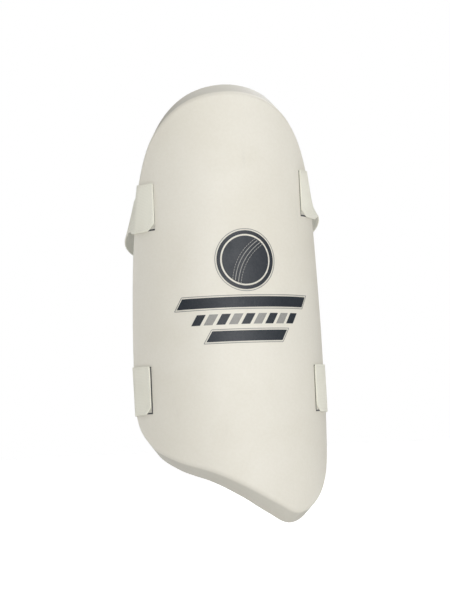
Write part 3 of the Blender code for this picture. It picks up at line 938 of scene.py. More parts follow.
@dataclass
class QuiltedBack:
    """The soft lining over its comfort foam, sewn down in channels and puffed up between them."""

    surface: GuardSurface
    rungs: int = 60
    columns: int = 30
    rows: tuple[int, ...] = (10, 19, 28, 37, 46)
    lines: tuple[int, ...] = (10, 20)
    front: float = 14.9 * MM
    seat: float = 17.1 * MM
    lining: float = 1.0 * MM
    rest: float = 19.9 * MM
    sewn: float = 17.0 * MM
    shoulder: float = 3.6 * MM
    soft_edge: float = -6 * MM
    pressure: float = 4.0
    frames: int = 20
    swell: float = 3.2 * MM

    def edge(self) -> list[tuple[float, float]]:
        """The padded edge in section, from the sewn flange up over the shoulder."""
        flange = self.surface.lip_end - self.surface.gap
        base = self.seat + self.lining
        centre = (self.soft_edge - self.shoulder, base)
        wide, tall = 1.2 * self.shoulder, 0.75 * self.shoulder
        curve = [(centre[0] + wide * math.cos(a), centre[1] + tall * math.sin(a))
                 for a in np.linspace(0.0, math.pi / 2, 7)]
        return [(self.soft_edge, self.front), (self.soft_edge, self.seat), (flange, self.seat),
                (flange, base)] + curve

    def sheet(self) -> bpy.types.Object:
        """Builds the closed pad before it is puffed up, and returns it."""
        plan = MeshPlan()
        edge = self.edge()
        rings = np.stack([self.surface.ring(offset, self.rungs) for offset, _ in edge])
        depths = np.array([depth for _, depth in edge])[:, None]
        plan.sheet(self.surface.at(rings, depths), rings)
        front = self.surface.inside(edge[0][0], self.rungs, self.columns)
        plan.sheet(self.surface.at(front, edge[0][1]), front)
        back = self.surface.inside(edge[-1][0], self.rungs, self.columns)
        depth = np.full(back.shape[:2], self.rest)
        held = np.zeros(back.shape[:2])
        depth[list(self.rows), :] = self.sewn
        depth[:, list(self.lines)] = self.sewn
        held[list(self.rows), :] = 1.0
        held[:, list(self.lines)] = 1.0
        held[:4], held[-5:], held[:, 0], held[:, -1] = 1.0, 1.0, 1.0, 1.0
        depth[:, 0] = depth[:, -1] = depth[0] = depth[-1] = edge[-1][1]
        plan.sheet(self.surface.at(back, depth), back, 0, held)
        return plan.build("quilted_lining", [])

    def puff(self, pad: bpy.types.Object) -> None:
        """Puffs the pad between its seams by a cloth simulation and keeps the result in its mesh."""
        held = np.empty(len(pad.data.vertices), np.float32)
        pad.data.attributes["held"].data.foreach_get("value", held)
        pinned = pad.vertex_groups.new(name="held")
        pinned.add([int(i) for i in np.flatnonzero(held > 0.5)], 1.0, "REPLACE")
        cloth = pad.modifiers.new("cloth", "CLOTH")
        settings = cloth.settings
        settings.quality = 6
        settings.mass = 0.2
        settings.vertex_group_mass = "held"
        settings.tension_stiffness = settings.compression_stiffness = 6.0
        settings.shear_stiffness = 3.0
        settings.bending_stiffness = 0.3
        settings.use_pressure = True
        settings.uniform_pressure_force = self.pressure
        settings.effector_weights.gravity = 0.0
        cloth.collision_settings.use_collision = False
        cloth.point_cache.frame_start, cloth.point_cache.frame_end = 1, self.frames
        scene = bpy.context.scene
        for number in range(1, self.frames + 1):
            scene.frame_set(number)
        moved = pad.evaluated_get(bpy.context.evaluated_depsgraph_get()).data
        before, after = read_points(pad.data), read_points(moved)
        step = after - before
        length = np.linalg.norm(step, axis=1, keepdims=True)
        log.info("quilted_lining: puffed by up to %.1f mm", float(length.max()) / MM)
        capped = before + step * np.minimum(1.0, self.swell / np.maximum(length, 1e-9))
        pad.modifiers.remove(cloth)
        pad.vertex_groups.remove(pinned)
        scene.frame_set(1)
        pad.data.vertices.foreach_set("co", capped.astype(np.float32).ravel())
        pad.data.update()

    def seams(self, pad: bpy.types.Object, patterns: Patterns, book: FinishBook) -> None:
        """Sews the channels, each stitch lying on the puffed lining."""
        back = self.surface.inside(self.edge()[-1][0], self.rungs, self.columns)
        rows = [back[row, 1:-1] for row in self.rows]
        rows += [back[6:-7, line] for line in self.lines]
        tree = BVHTree.FromPolygons([vert.co for vert in pad.data.vertices],
                                    [face.vertices for face in pad.data.polygons])
        lines = []
        for row in rows:
            even = cut_evenly(row, max(8, int(len(row) * 3)))
            outward = self.surface.outward(even[:, 0])
            axis = np.stack([np.zeros(len(even)), np.zeros(len(even)), even[:, 1]], axis=1)
            hits = [tree.ray_cast(Vector(a), Vector(o)) for a, o in zip(axis, outward)]
            points = [np.array(hit[0]) if hit[0] is not None else a + o * 0.084
                      for hit, a, o in zip(hits, axis, outward)]
            lines.append((np.array(points) - outward * 0.15 * MM, -outward))
        seams = patterns.sew("channel_stitches", lines, False, book.dark_thread, Pitch=3.4 * MM,
                             Length=2.9 * MM, Width=0.65 * MM, Height=0.5 * MM)
        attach(seams, "pad")

    def build(self, book: FinishBook, patterns: Patterns) -> None:
        """Builds the padded lining and its seams."""
        pad = self.sheet()
        self.puff(pad)
        pad.data.materials.append(book.lining)
        smoother = pad.modifiers.new("smooth", "SUBSURF")
        smoother.levels = smoother.render_levels = 1
        apply_modifiers(pad)
        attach(pad, "pad")
        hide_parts("comfort_foam", "back_lining")
        self.seams(pad, patterns, book)


def read_points(mesh: bpy.types.Mesh) -> Points:
    """The points of a mesh."""
    points = np.empty(len(mesh.vertices) * 3)
    mesh.vertices.foreach_get("co", points)
    return points.reshape(-1, 3)


def apply_modifiers(piece: bpy.types.Object) -> None:
    """Makes a piece's modifiers part of its mesh."""
    depsgraph = bpy.context.evaluated_depsgraph_get()
    mesh = bpy.data.meshes.new_from_object(piece.evaluated_get(depsgraph), depsgraph=depsgraph)
    piece.modifiers.clear()
    mesh.name = piece.name
    piece.data = mesh


@dataclass
class EdgeBinding:
    """The woven tape that finishes the back edge, with its two rows of stitching."""

    surface: GuardSurface
    half: float = 4 * MM
    tape: float = 1.0 * MM
    pucker: float = 0.12 * MM
    wave: float = 7 * MM
    rows: tuple[float, ...] = (-0.6 * MM, 4.6 * MM)

    def section(self) -> list[tuple[float, float]]:
        """The tape's section, closed, with rolled edges."""
        middle = self.surface.lip_end
        front = self.surface.rim_depth + self.surface.gap
        radius = self.tape / 2
        low, high = middle - self.half + radius, middle + self.half - radius
        near = self.surface.arc((low, front + radius), radius, math.pi, 2 * math.pi, 4)
        far = self.surface.arc((high, front + radius), radius, 0.0, math.pi, 4)
        back = [(mix(high, low, t),
                 front + self.tape + 0.25 * MM * math.sin(math.pi * t)) for t in (0.15, 0.3, 0.5, 0.7, 0.85)]
        return near + far + back + near[:1]

    def build(self, book: FinishBook, patterns: Patterns) -> None:
        """Builds the tape and its stitches."""
        plan = MeshPlan()
        section = self.section()
        rings = np.stack([self.surface.ring(offset) for offset, _ in section])
        steps = np.linalg.norm(np.diff(rings[0], axis=0), axis=1)
        run = np.concatenate([[0.0], np.cumsum(steps)])
        depths = np.array([depth for _, depth in section])[:, None]
        waves = round(float(run[-1]) / self.wave)
        ripple = self.pucker * np.sin(run / run[-1] * 2 * np.pi * waves)
        ripple[-1] = ripple[0]
        depths = depths + ripple * (depths > self.surface.rim_depth + 1 * MM)
        around = np.array([offset for offset, _ in section])
        places = np.stack(np.broadcast_arrays(run[None, :], around[:, None]), axis=-1)
        plan.sheet(self.surface.at(rings, depths), places)
        tape = plan.build("edge_tape", [book.binding], 60.0)
        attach(tape, "pad")
        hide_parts("edge_binding")
        back = self.surface.rim_depth + self.surface.gap + self.tape + 0.2 * MM
        lines = []
        for offset in self.rows:
            ring = self.surface.ring(offset)[:-1]
            lines.append((self.surface.at(ring, back), -self.surface.outward(ring[:, 0])))
        stitches = patterns.sew("edge_stitches", lines, True, book.dark_thread, Pitch=3.2 * MM,
                                Length=2.6 * MM, Width=0.6 * MM, Height=0.4 * MM)
        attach(stitches, "pad")


@dataclass
class PrintedFace:
    """The generic print: a stitched ball in a ring, over three slanted bars with a thin keyline."""

    surface: GuardSurface
    middle_s: float = 14 * MM
    ball_z: float = 37 * MM
    ring_radius: float = 30 * MM
    ball_radius: float = 23 * MM
    keyline: float = 0.7 * MM
    low: float = -0.15 * MM
    film: float = 0.22 * MM
    bar_lengths: tuple[float, ...] = (132 * MM, 104 * MM, 76 * MM)
    bar_width: float = 10 * MM
    bar_pitch: float = 16 * MM
    bar_top: float = -3 * MM
    slant: float = 6 * MM
    blocks: int = 9
    block_gap: float = 3.4 * MM
    welt: float = 1.7 * MM
    stitch_row: float = 4.6 * MM

    def lay(self, plan: MeshPlan, places: Points, slot: int, lift: float = 0.0) -> None:
        """Lays a film over a grid of places."""
        top, bottom = self.surface.at(places, -(self.film + lift)), self.surface.at(places, -self.low)
        plan.slab(top, bottom, places, slot)

    def ribbon(self, plan: MeshPlan, line: Points, width: float, slot: int, lift: float = 0.0) -> None:
        """Lays a line of even width along a path of places."""
        along = unit(np.gradient(line, axis=0))
        aside = np.stack([-along[:, 1], along[:, 0]], axis=1) * width / 2
        self.lay(plan, np.stack([line + aside, line, line - aside], axis=1), slot, lift)

    def hoop(self, plan: MeshPlan, inner: float, outer: float, slot: int) -> None:
        """Lays a ring round the ball's middle."""
        turn = np.linspace(0.0, 2 * np.pi, 121)
        radii = np.linspace(inner, outer, max(2, int((outer - inner) / (2 * MM)) + 2))
        places = np.stack([self.middle_s + radii[:, None] * np.cos(turn),
                           self.ball_z + radii[:, None] * np.sin(turn)], axis=-1)
        top = self.surface.at(places, -self.film)
        bottom = self.surface.at(places, -self.low)
        plan.sheet(top, places, slot)
        plan.sheet(bottom, places, slot)
        for k in (0, -1):
            plan.wall(top[k], bottom[k], places[k], slot)

    def seam(self, shift: float) -> Points:
        """One edge of the ball's curved seam, from rim to rim."""
        reach = math.sqrt(self.ball_radius ** 2 - shift ** 2) - 0.8 * MM
        along = np.linspace(-reach, reach, 41)
        bow = 5.5 * MM * (1 - (along / self.ball_radius) ** 2) + shift - 3 * MM
        tilt = math.radians(58)
        return np.stack([self.middle_s + along * math.cos(tilt) - bow * math.sin(tilt),
                         self.ball_z + along * math.sin(tilt) + bow * math.cos(tilt)], axis=1)

    def bar(self, number: int, grow: float, first: float = 0.0, last: float = 1.0) -> Points:
        """The places of one bar, or of a stretch of it, grown by a margin."""
        length = self.bar_lengths[number] + 2 * grow
        z = self.bar_top - number * self.bar_pitch
        half = self.bar_width / 2 + grow
        s = self.middle_s + length * (np.linspace(first, last, 3 + int(58 * (last - first))) - 0.5)
        up = np.linspace(-1.0, 1.0, 7)
        lean = self.slant * (1 + 2 * grow / self.bar_width) / 2
        return np.stack(np.broadcast_arrays(s[:, None] + up * lean, z + up * half), axis=-1)

    def lay_blocks(self, plan: MeshPlan, number: int) -> None:
        """Lays one bar as a row of slanted blocks, every other one in the keyline's grey."""
        share = self.block_gap / self.bar_lengths[number]
        pitch = (1 + share) / self.blocks
        for block in range(self.blocks):
            self.lay(plan, self.bar(number, 0.0, block * pitch, (block + 1) * pitch - share), block % 2)

    def build(self, book: FinishBook, patterns: Patterns) -> None:
        """Builds the badge, its seam stitches and the bars."""
        badge = MeshPlan()
        self.hoop(badge, 0.2 * MM, self.ball_radius, 0)
        self.hoop(badge, self.ball_radius + 1.6 * MM, self.ring_radius - 1.9 * MM, 0)
        self.hoop(badge, self.ring_radius - self.keyline, self.ring_radius, 1)
        for shift in (-self.welt, self.welt):
            self.ribbon(badge, self.seam(shift), 0.7 * MM, 1, 0.06 * MM)
        made = badge.build("ball_badge", [book.print, book.keyline])
        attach(made, "pad")
        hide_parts("print_roundel")
        lines = []
        for shift in (-self.stitch_row, self.stitch_row):
            seam = self.seam(shift)
            lines.append((self.surface.at(seam, -self.film - 0.05 * MM), self.surface.outward(seam[:, 0])))
        stitches = patterns.sew("ball_seam_stitches", lines, False, book.keyline, Pitch=2.6 * MM,
                                Length=2.6 * MM, Width=0.75 * MM, Height=0.3 * MM)
        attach(stitches, "pad")
        for number in range(len(self.bar_lengths)):
            plan = MeshPlan()
            if number == 1:
                self.lay_blocks(plan, number)
            else:
                self.lay(plan, self.bar(number, 0.0), 0)
                frame_line = self.bar(number, 1.5 * MM)
                for edge in (frame_line[:, -1], frame_line[-1, ::-1], frame_line[::-1, 0], frame_line[0]):
                    steps = max(4, int(np.ptp(edge[:, 0]) / (3 * MM)))
                    line = cut_evenly(edge, steps)
                    line[[0, -1]] = mix(line[[0, -1]], line[[1, -2]], 0.02)
                    self.ribbon(plan, line, self.keyline, 1)
            bar = plan.build(f"print_bar_{number + 1}", [book.print, book.keyline])
            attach(bar, "pad")
            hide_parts(f"print_stripe_{number + 1}")


# ---- straps

@dataclass(frozen=True)
class StrapSizes:
    """One strap: the heights of its left and right tabs, their reach, and the fit of its loop."""

    level: Level
    heights: tuple[float, float]
    reaches: tuple[float, float]
    slack: float
    behind: float
    flare: float
    droop: float
    lift: float = 0.0
    loop_showing: tuple[float, float] = (0.0, 0.0)
    shift: float = 3 * MM
    clearance: float = 12 * MM
    width: float = 46.5 * MM
    webbing: float = 1.2 * MM
    web_level: float = 1.15 * MM

    def height(self, side: Side) -> float:
        """The height of the tab on one side."""
        return self.heights[0 if side is Side.LEFT else 1]

    def reach(self, side: Side) -> float:
        """How far the tab on one side reaches in from the outline."""
        return self.reaches[0 if side is Side.LEFT else 1]

    def body(self) -> str:
        """The body that the loop rides on."""
        return f"{self.level.value}_strap"

    def prefix(self, side: Side) -> str:
        """The start of the names of the pieces on one side."""
        return f"{self.level.value}_{side.name.lower()}"


def rounded(width: float, radius: float, inner: int) -> tuple[Points, Points]:
    """Spaces points across a width so that both edges can be rolled.

    Args:
        width: the full width.
        radius: the rolled edge's radius.
        inner: how many lengths lie between the rolled edges.

    Returns:
        Shares of the width from 0 to 1, and the share of the half thickness at each.
    """
    turn = np.linspace(0.0, np.pi / 2, 5)
    edge = radius * (1 - np.cos(turn)) / width
    thick = np.sin(turn)
    middle = np.linspace(edge[-1], 1 - edge[-1], inner + 1)[1:-1]
    shares = np.concatenate([edge, middle, 1 - edge[::-1]])
    return shares, np.concatenate([thick, np.ones(len(middle)), thick[::-1]])


@dataclass
class FaceStrip:
    """A flat strip on the face, from its free end to where the strap turns over the edge."""

    surface: GuardSurface
    side: Side
    z: float
    half: float
    start: float
    low_level: float
    high_level: float
    shorten: float = 0.0
    low_corner: float = 0.0
    high_corner: float = 0.0

    def turn(self, z: Points | float) -> Points | float:
        """Where along the curve the strip ends, at a height."""
        side = self.side.value
        return self.surface.edge_at(z, self.side) + side * (self.surface.edge_start - self.shorten)

    def length(self) -> float:
        """The strip's length along its middle."""
        return abs(float(self.turn(self.z)) - self.start)

    def place(self, run: Points, across: Points) -> Points:
        """The unrolled places at distances from the free end and shares of the width."""
        softness = 0.9 * MM if self.low_corner else 0.0
        over = self.low_corner - run
        low = -self.half + (over + np.sqrt(over ** 2 + softness ** 2)) / 2 * (self.low_corner > 0)
        inside = np.clip(self.high_corner - run, 0.0, self.high_corner)
        high = self.half - (self.high_corner - np.sqrt(self.high_corner ** 2 - inside ** 2))
        z = self.z + mix(low, high, across)
        s = mix(self.start, self.turn(z), run / self.length())
        return np.stack(np.broadcast_arrays(s, z), axis=-1)

    def add(self, plan: MeshPlan, slot: int = 0, extend: float = 0.0) -> None:
        """Adds the strip with rolled edges and a closed free end.

        Args:
            plan: the piece to add to.
            slot: its finish.
            extend: how far it goes on past the turn.
        """
        thickness = self.high_level - self.low_level
        shares, thick = rounded(2 * self.half, thickness / 2, 24)
        near = np.concatenate([thickness / 2 * (1 - np.cos(np.linspace(0, np.pi / 2, 5))),
                               np.array([1.2, 1.8, 2.6, 3.6, 5.0, 6.2, 7.4, 9.0]) * MM])
        run = np.concatenate([near, np.linspace(near[-1], self.length() + extend, 16)[1:]])
        fade = np.concatenate([np.sin(np.linspace(0, np.pi / 2, 5)), np.ones(len(run) - 5)])
        places = self.place(run[:, None], shares[None, :])
        middle = (self.high_level + self.low_level) / 2
        rise = thickness / 2 * thick[None, :] * fade[:, None]
        top = self.surface.at(places, -(middle + rise))
        bottom = self.surface.at(places, -(middle - rise))
        weave = np.stack(np.broadcast_arrays(run[:, None], shares[None, :] * 2 * self.half), axis=-1)
        plan.sheet(top, weave, slot)
        plan.sheet(bottom, weave, slot)
        plan.wall(top[-1], bottom[-1], weave[-1], slot)

    def build(self, name: str, finish: bpy.types.Material) -> bpy.types.Object:
        """Builds the strip as one piece and returns it."""
        plan = MeshPlan()
        self.add(plan)
        return plan.build(name, [finish])

    def stitch_line(self, corners: list[tuple[float, float]], level: float) -> tuple[Points, Points]:
        """A sewn line through places given by distance from the free end and share of the width."""
        path = np.vstack([self.place(np.array([run]), np.array([share])) for run, share in corners])
        even = cut_evenly(path, 60)
        return self.surface.at(even, -level), self.surface.outward(even[:, 0])


HOOK_PILE = {"Spacing": 1.25 * MM, "Size": 0.24 * MM, "Sweep": 4.1, "Thread": 0.22}
LOOP_PILE = {"Spacing": 0.95 * MM, "Size": 0.26 * MM, "Sweep": math.pi, "Thread": 0.2}


@dataclass
class StrapEnd:
    """One end of a strap: the loop patch on the face, and the hook-lined tab that closes onto it."""

    surface: GuardSurface
    sizes: StrapSizes
    side: Side
    hook_margin: float = 2 * MM
    bend: float = 5 * MM

    def strip(self, start_shift: float, inset: float, levels: tuple[float, float],
              **more: float) -> FaceStrip:
        """A strip of this end, moved and narrowed from the tab's own outline."""
        z, side = self.sizes.height(self.side), self.side
        end = float(self.surface.edge_at(z, side)) - side.value * self.sizes.reach(side)
        return FaceStrip(self.surface, side, z, self.sizes.width / 2 - inset, end + side.value * start_shift,
                         *levels, **more)

    def hinge(self) -> Points:
        """The middle of the line that the tab peels about."""
        z = self.sizes.height(self.side)
        level = self.sizes.web_level + self.sizes.webbing
        return self.surface.on_face(self.surface.turn_at(z, self.side), z, -level)

    def flex(self, piece: bpy.types.Object) -> None:
        """Bakes a piece of the tab's transform into its mesh."""
        inwards = np.array([-math.cos(self.angle()), -math.sin(self.angle()), 0.0]) * self.side.value
        hinge = self.hinge()
        f"{self.sizes.prefix(self.side)}_strap_end"
        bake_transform(piece)

    def angle(self) -> float:
        """How far round the face the tab turns over the edge."""
        return self.surface.turn_at(self.sizes.height(self.side), self.side) / self.surface.face_radius

    def build(self, book: FinishBook, patterns: Patterns) -> None:
        """Builds the patch, the hook tape, the tab and their stitches."""
        prefix = self.sizes.prefix(self.side)
        showing = self.sizes.loop_showing[self.side is Side.RIGHT]
        patch = self.strip(-showing, abs(showing), (0.05 * MM, 0.45 * MM), shorten=0.3 * MM)
        hook = self.strip(0.3 * MM, self.hook_margin, (0.65 * MM, 1.05 * MM), shorten=self.hook_margin)
        tab = self.strip(0.0, 0.0, (self.sizes.web_level, self.sizes.web_level + self.sizes.webbing),
                         low_corner=7 * MM, high_corner=2 * MM)
        loops = patch.build(f"{prefix}_loops", book.loop_tape)
        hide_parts(f"{prefix}_loop_patch")
        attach(loops, "pad")
        pile = self.pile(patch, f"{prefix}_loop_pile", patch.high_level, False, book.loop_tape, patterns)
        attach(pile, "pad")
        far = patch.length() - 2 * MM
        border = [(far, 0.03), (1.1 * MM, 0.03), (1.1 * MM, 0.97), (far, 0.97)]
        lines = [patch.stitch_line(border, patch.high_level)]
        sewn = patterns.sew(f"{prefix}_patch_stitches", lines, False, book.dark_thread, Pitch=2.6 * MM,
                            Length=2.1 * MM, Width=0.45 * MM, Height=0.35 * MM)
        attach(sewn, "pad")
        hooks = hook.build(f"{prefix}_hooks", book.hook_tape)
        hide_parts(f"{prefix}_hook_tape")
        self.flex(hooks)
        self.flex(self.pile(hook, f"{prefix}_hook_pile", hook.low_level, True, book.hook_tape, patterns))
        webbing = tab.build(f"{prefix}_tab_webbing", book.webbing)
        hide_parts(f"{prefix}_tab")
        self.flex(webbing)
        far = tab.length() - 1.5 * MM
        box = [(far, 0.05), (8.2 * MM, 0.05), (2.3 * MM, 0.19), (2.3 * MM, 0.945), (far, 0.945)]
        lines = [tab.stitch_line(box, tab.high_level)]
        sewn = patterns.sew(f"{prefix}_tab_stitches", lines, False, book.pale_thread, Pitch=2.7 * MM,
                            Length=2.2 * MM, Width=0.42 * MM, Height=0.28 * MM)
        self.flex(sewn)

    def pile(self, strip: FaceStrip, name: str, level: float, under: bool, finish: bpy.types.Material,
             patterns: Patterns) -> bpy.types.Object:
        """Stands hooks under a strip, or loops on it.

        Args:
            strip: the strip that carries them.
            name: the new piece's name.
            level: how far the strip's surface stands from the face.
            under: True hangs hooks from its under side.
            finish: their material.
            patterns: the trees that make them.

        Returns:
            The pile as one piece.
        """
        run = np.linspace(1.2 * MM, strip.length() - 0.6 * MM, 14)
        places = strip.place(run[:, None], np.linspace(0.05, 0.95, 14)[None, :])
        points = self.surface.at(places, -level)
        rows, columns = places.shape[:2]
        index = np.arange(rows * columns).reshape(rows, columns)
        quads = np.stack([index[:-1, :-1], index[1:, :-1], index[1:, 1:], index[:-1, 1:]], axis=-1)
        mesh = bpy.data.meshes.new(name)
        mesh.from_pydata(points.reshape(-1, 3).tolist(), [], quads.reshape(-1, 4).tolist())
        facing = Vector(self.surface.outward(places[rows // 2, columns // 2, 0]))
        if (mesh.polygons[0].normal.dot(facing) > 0) == under:
            mesh.flip_normals()
        carrier = add_object(name, mesh)
        sizes = HOOK_PILE if under else LOOP_PILE
        return patterns.apply(carrier, patterns.pile, name, {"Finish": finish, **sizes})


@dataclass
class StrapLoop:
    """The elastic from tab to tab: over one moulded edge, round the thigh and over the other edge."""

    surface: GuardSurface
    sizes: StrapSizes
    fold_steps: int = 22
    band_steps: int = 110
    tuck: float = 1.0 * MM
    rear_flare: float = 0.3
    # The stretch from each end over which the inner face is dark.
    dark_end_reach: float = 46 * MM

    def tab_hinge(self, side: Side) -> Points:
        """The middle of the line that a tab peels about."""
        half, level = self.sizes.width / 2, self.sizes.web_level + self.sizes.webbing
        heights = [self.sizes.height(side) + k * half for k in (-1, 1)]
        ends = [self.surface.on_face(self.surface.turn_at(z, side), z, -level) for z in heights]
        return np.mean(ends, axis=0)

    def pivot(self) -> Points:
        """The middle of the line that the loop swings about."""
        angle = (self.surface.wall_turn + math.pi) / 2
        profile = self.surface.moulded_edge(0.0, 1)
        corner = profile[4][0] + self.surface.back_round * math.sin(angle)
        backs = []
        for side in Side:
            z = self.sizes.height(side)
            s = float(self.surface.edge_at(z, side)) + side.value * corner
            backs.append(self.surface.on_face(s, z, self.surface.rim_depth)[1])
        return np.array([0.0, max(backs), sum(self.sizes.heights) / 2])

    def seated(self, points: Points) -> Points:
        """Turns points of the loop's own frame into their places on the guard."""
        lean = math.atan2(self.sizes.heights[1] - self.sizes.heights[0], 2 * self.surface.face_radius)
        turn = Matrix.Rotation(-lean, 3, "Y") @ Matrix.Rotation(-self.sizes.droop, 3, "X")
        return points @ np.array(turn).T + self.pivot()

    def band_row(self, share: float) -> Points:
        """A section of the band, from the right fold to the left.

        Args:
            share: how far round the band, from 0 to 1.

        Returns:
            Its corners: inner low, inner high, outer high, outer low.
        """
        left, right = self.tab_hinge(Side.LEFT)[0], self.tab_hinge(Side.RIGHT)[0]
        centre, radius = (left + right) / 2 + self.sizes.shift, (right - left) / 2 + self.sizes.slack
        spread = self.sizes.flare * mix(1.0, self.rear_flare, math.sin(math.pi * share))
        half = math.sqrt(self.sizes.width ** 2 - spread ** 2) / 2
        row = []
        for extra, up in ((spread, -1), (0.0, 1), (self.sizes.webbing, 1), (spread + self.sizes.webbing, -1)):
            wide = radius + extra
            first = math.acos((self.sizes.behind - self.sizes.clearance) / wide)
            angle = mix(first, 2 * math.pi - first, share)
            sag = 0.5 * MM * math.sin(9 * angle + up) * math.sin(math.pi * share) ** 2
            row.append((centre + (wide + sag) * math.sin(angle),
                        self.sizes.behind - (wide + sag) * math.cos(angle), self.sizes.lift + up * half))
        return self.seated(np.array(row))

    def fold_rows(self, side: Side) -> Points:
        """The sections of one fold, from inside the tab to the band's start."""
        ends = (0.0, 1 / self.band_steps) if side is Side.RIGHT else (1.0, 1 - 1 / self.band_steps)
        start_row, next_row = (self.band_row(share) for share in ends)
        half, z = self.sizes.width / 2, self.sizes.height(side)
        slim = 0.10 * MM
        levels = (self.sizes.web_level + slim, self.sizes.web_level + self.sizes.webbing - slim)
        shares = np.linspace(0.0, 1.0, self.fold_steps + 1)[:, None]
        lines = []
        for k, (level, edge) in enumerate(((levels[0], -half), (levels[0], half),
                                           (levels[1], half), (levels[1], -half))):
            turn = self.surface.turn_at(z + edge, side)
            begin = self.surface.on_face(turn - side.value * self.tuck, z + edge * 0.995, -level)
            ahead = unit(self.surface.on_face(turn, z + edge, -level) - begin)
            onward = unit(next_row[k] - start_row[k])
            reach = np.linalg.norm(start_row[k] - begin) / 3
            handles = [begin + ahead * reach, start_row[k] - onward * reach]
            lines.append(bezier([begin, *handles, start_row[k]], shares))
        return np.stack(lines, axis=1)

    def rows(self) -> Points:
        """Every section from the right tab to the left."""
        band = np.stack([self.band_row(share) for share in np.linspace(0.0, 1.0, self.band_steps + 1)])
        return np.concatenate([self.fold_rows(Side.RIGHT)[:-1], band, self.fold_rows(Side.LEFT)[::-1][1:]])

    def skin(self, rows: Points, across: Points, through: Points) -> Points:
        """Points at shares across each section and shares through its thickness."""
        low = mix(rows[:, None, 0], rows[:, None, 3], through[None, :, None])
        high = mix(rows[:, None, 1], rows[:, None, 2], through[None, :, None])
        return mix(low, high, across[None, :, None])

    def build(self, book: FinishBook, patterns: Patterns) -> None:
        """Builds the elastic, its overlap at the back and its stitches."""
        rows = self.rows()
        middle = rows.mean(axis=1)
        run = np.concatenate([[0.0], np.cumsum(np.linalg.norm(np.diff(middle, axis=0), axis=1))])
        shares, thick = rounded(self.sizes.width, self.sizes.webbing / 2, 14)
        weave = np.stack(np.broadcast_arrays(run[:, None], shares[None, :] * self.sizes.width), axis=-1)
        outer = self.skin(rows, shares, 0.5 + thick / 2)
        inner = self.skin(rows, shares, 0.5 - thick / 2)
        # The inner face takes the dark strap_back finish for a stretch from each end, between its rolled
        # edges.
        near = np.minimum(run, run[-1] - run)
        dark_near_ends = ((near[:-1] < self.dark_end_reach).astype(int)[:, None]
                 * ((shares[:-1] > 0.04) & (shares[:-1] < 0.95)).astype(int)[None, :])
        plan = MeshPlan()
        plan.sheet(outer, weave, 0)
        plan.sheet(inner, weave, dark_near_ends)
        for k in (0, -1):
            plan.wall(outer[k], inner[k], weave[k])
        name = self.sizes.level.value
        loop = plan.build(f"{name}_elastic", [book.webbing, book.strap_back], 55.0)
        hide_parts(f"{name}_band", f"{name}_left_fold", f"{name}_right_fold")
        ends = [self.fold_rows(side) for side in Side]
        finish = self.pivot()[1] + self.sizes.clearance
        z = self.pivot()[2]
        self.sizes.body()
        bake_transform(loop)
        self.overlap(rows, run, shares, thick, book, patterns)

    def overlap(self, rows: Points, run: Points, shares: Points, thick: Points, book: FinishBook,
                patterns: Patterns) -> None:
        """Builds the doubled elastic at the back of the thigh and the zigzags that join it."""
        centre = int(np.argmin(np.abs(run - run[-1] / 2)))
        span = slice(centre - 7, centre + 8)
        part, travel = rows[span], run[span]
        edge = np.minimum(travel - travel[0], travel[-1] - travel)
        fade = np.sqrt(np.clip(edge / (2.5 * MM), 0.0, 1.0))[:, None]
        plan = MeshPlan()
        weave = np.stack(np.broadcast_arrays(travel[:, None], shares[None, :] * self.sizes.width), axis=-1)
        level = 1.0 + 0.42 * thick[None, :] * fade + 0.42 * fade
        sink = 1.0 - 0.35 * thick[None, :] * fade
        sheets = []
        for through in (level, sink):
            low = mix(part[:, None, 0], part[:, None, 3], through[..., None])
            high = mix(part[:, None, 1], part[:, None, 2], through[..., None])
            sheets.append(mix(low, high, (0.01 + 0.98 * shares)[None, :, None]))
        top, bottom = sheets
        plan.sheet(top, weave)
        plan.sheet(bottom, weave)
        for k in (0, -1):
            plan.wall(top[k], bottom[k], weave[k])
            plan.wall(top[:, k], bottom[:, k], weave[:, k])
        name = self.sizes.level.value
        doubled = plan.build(f"{name}_overlap", [book.webbing], 60.0)
        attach(doubled, self.sizes.body())
        lines = []
        for k in (2, 5, len(part) - 6, len(part) - 3):
            across = np.linspace(0.05, 0.95, 40)[:, None]
            inner, outer = mix(part[k, 0], part[k, 1], across), mix(part[k, 3], part[k, 2], across)
            up = unit(outer - inner)
            lines.append((outer + up * 1.35 * MM, up))
        zigzag = patterns.sew(f"{name}_zigzag", lines, False, book.pale_thread, Pitch=1.5 * MM,
                              Length=2.9 * MM, Width=0.5 * MM, Height=0.4 * MM, Lean=0.55, Wander=0.02)
        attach(zigzag, self.sizes.body())


@dataclass
class InnerParts:
    """The impact plate and the foam core, which keep their own solids."""

    def dress(self, book: FinishBook) -> None:
        """Gives each solid its material."""
        for name, finish in (("impact_plate", book.plate), ("foam_core", book.core_foam)):
            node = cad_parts[name]
            for held in node.material_slots:
                held.material = finish
            if not node.material_slots:
                node.data.materials.append(finish)
            log.info("%s: dressed", name)


# ---- studio

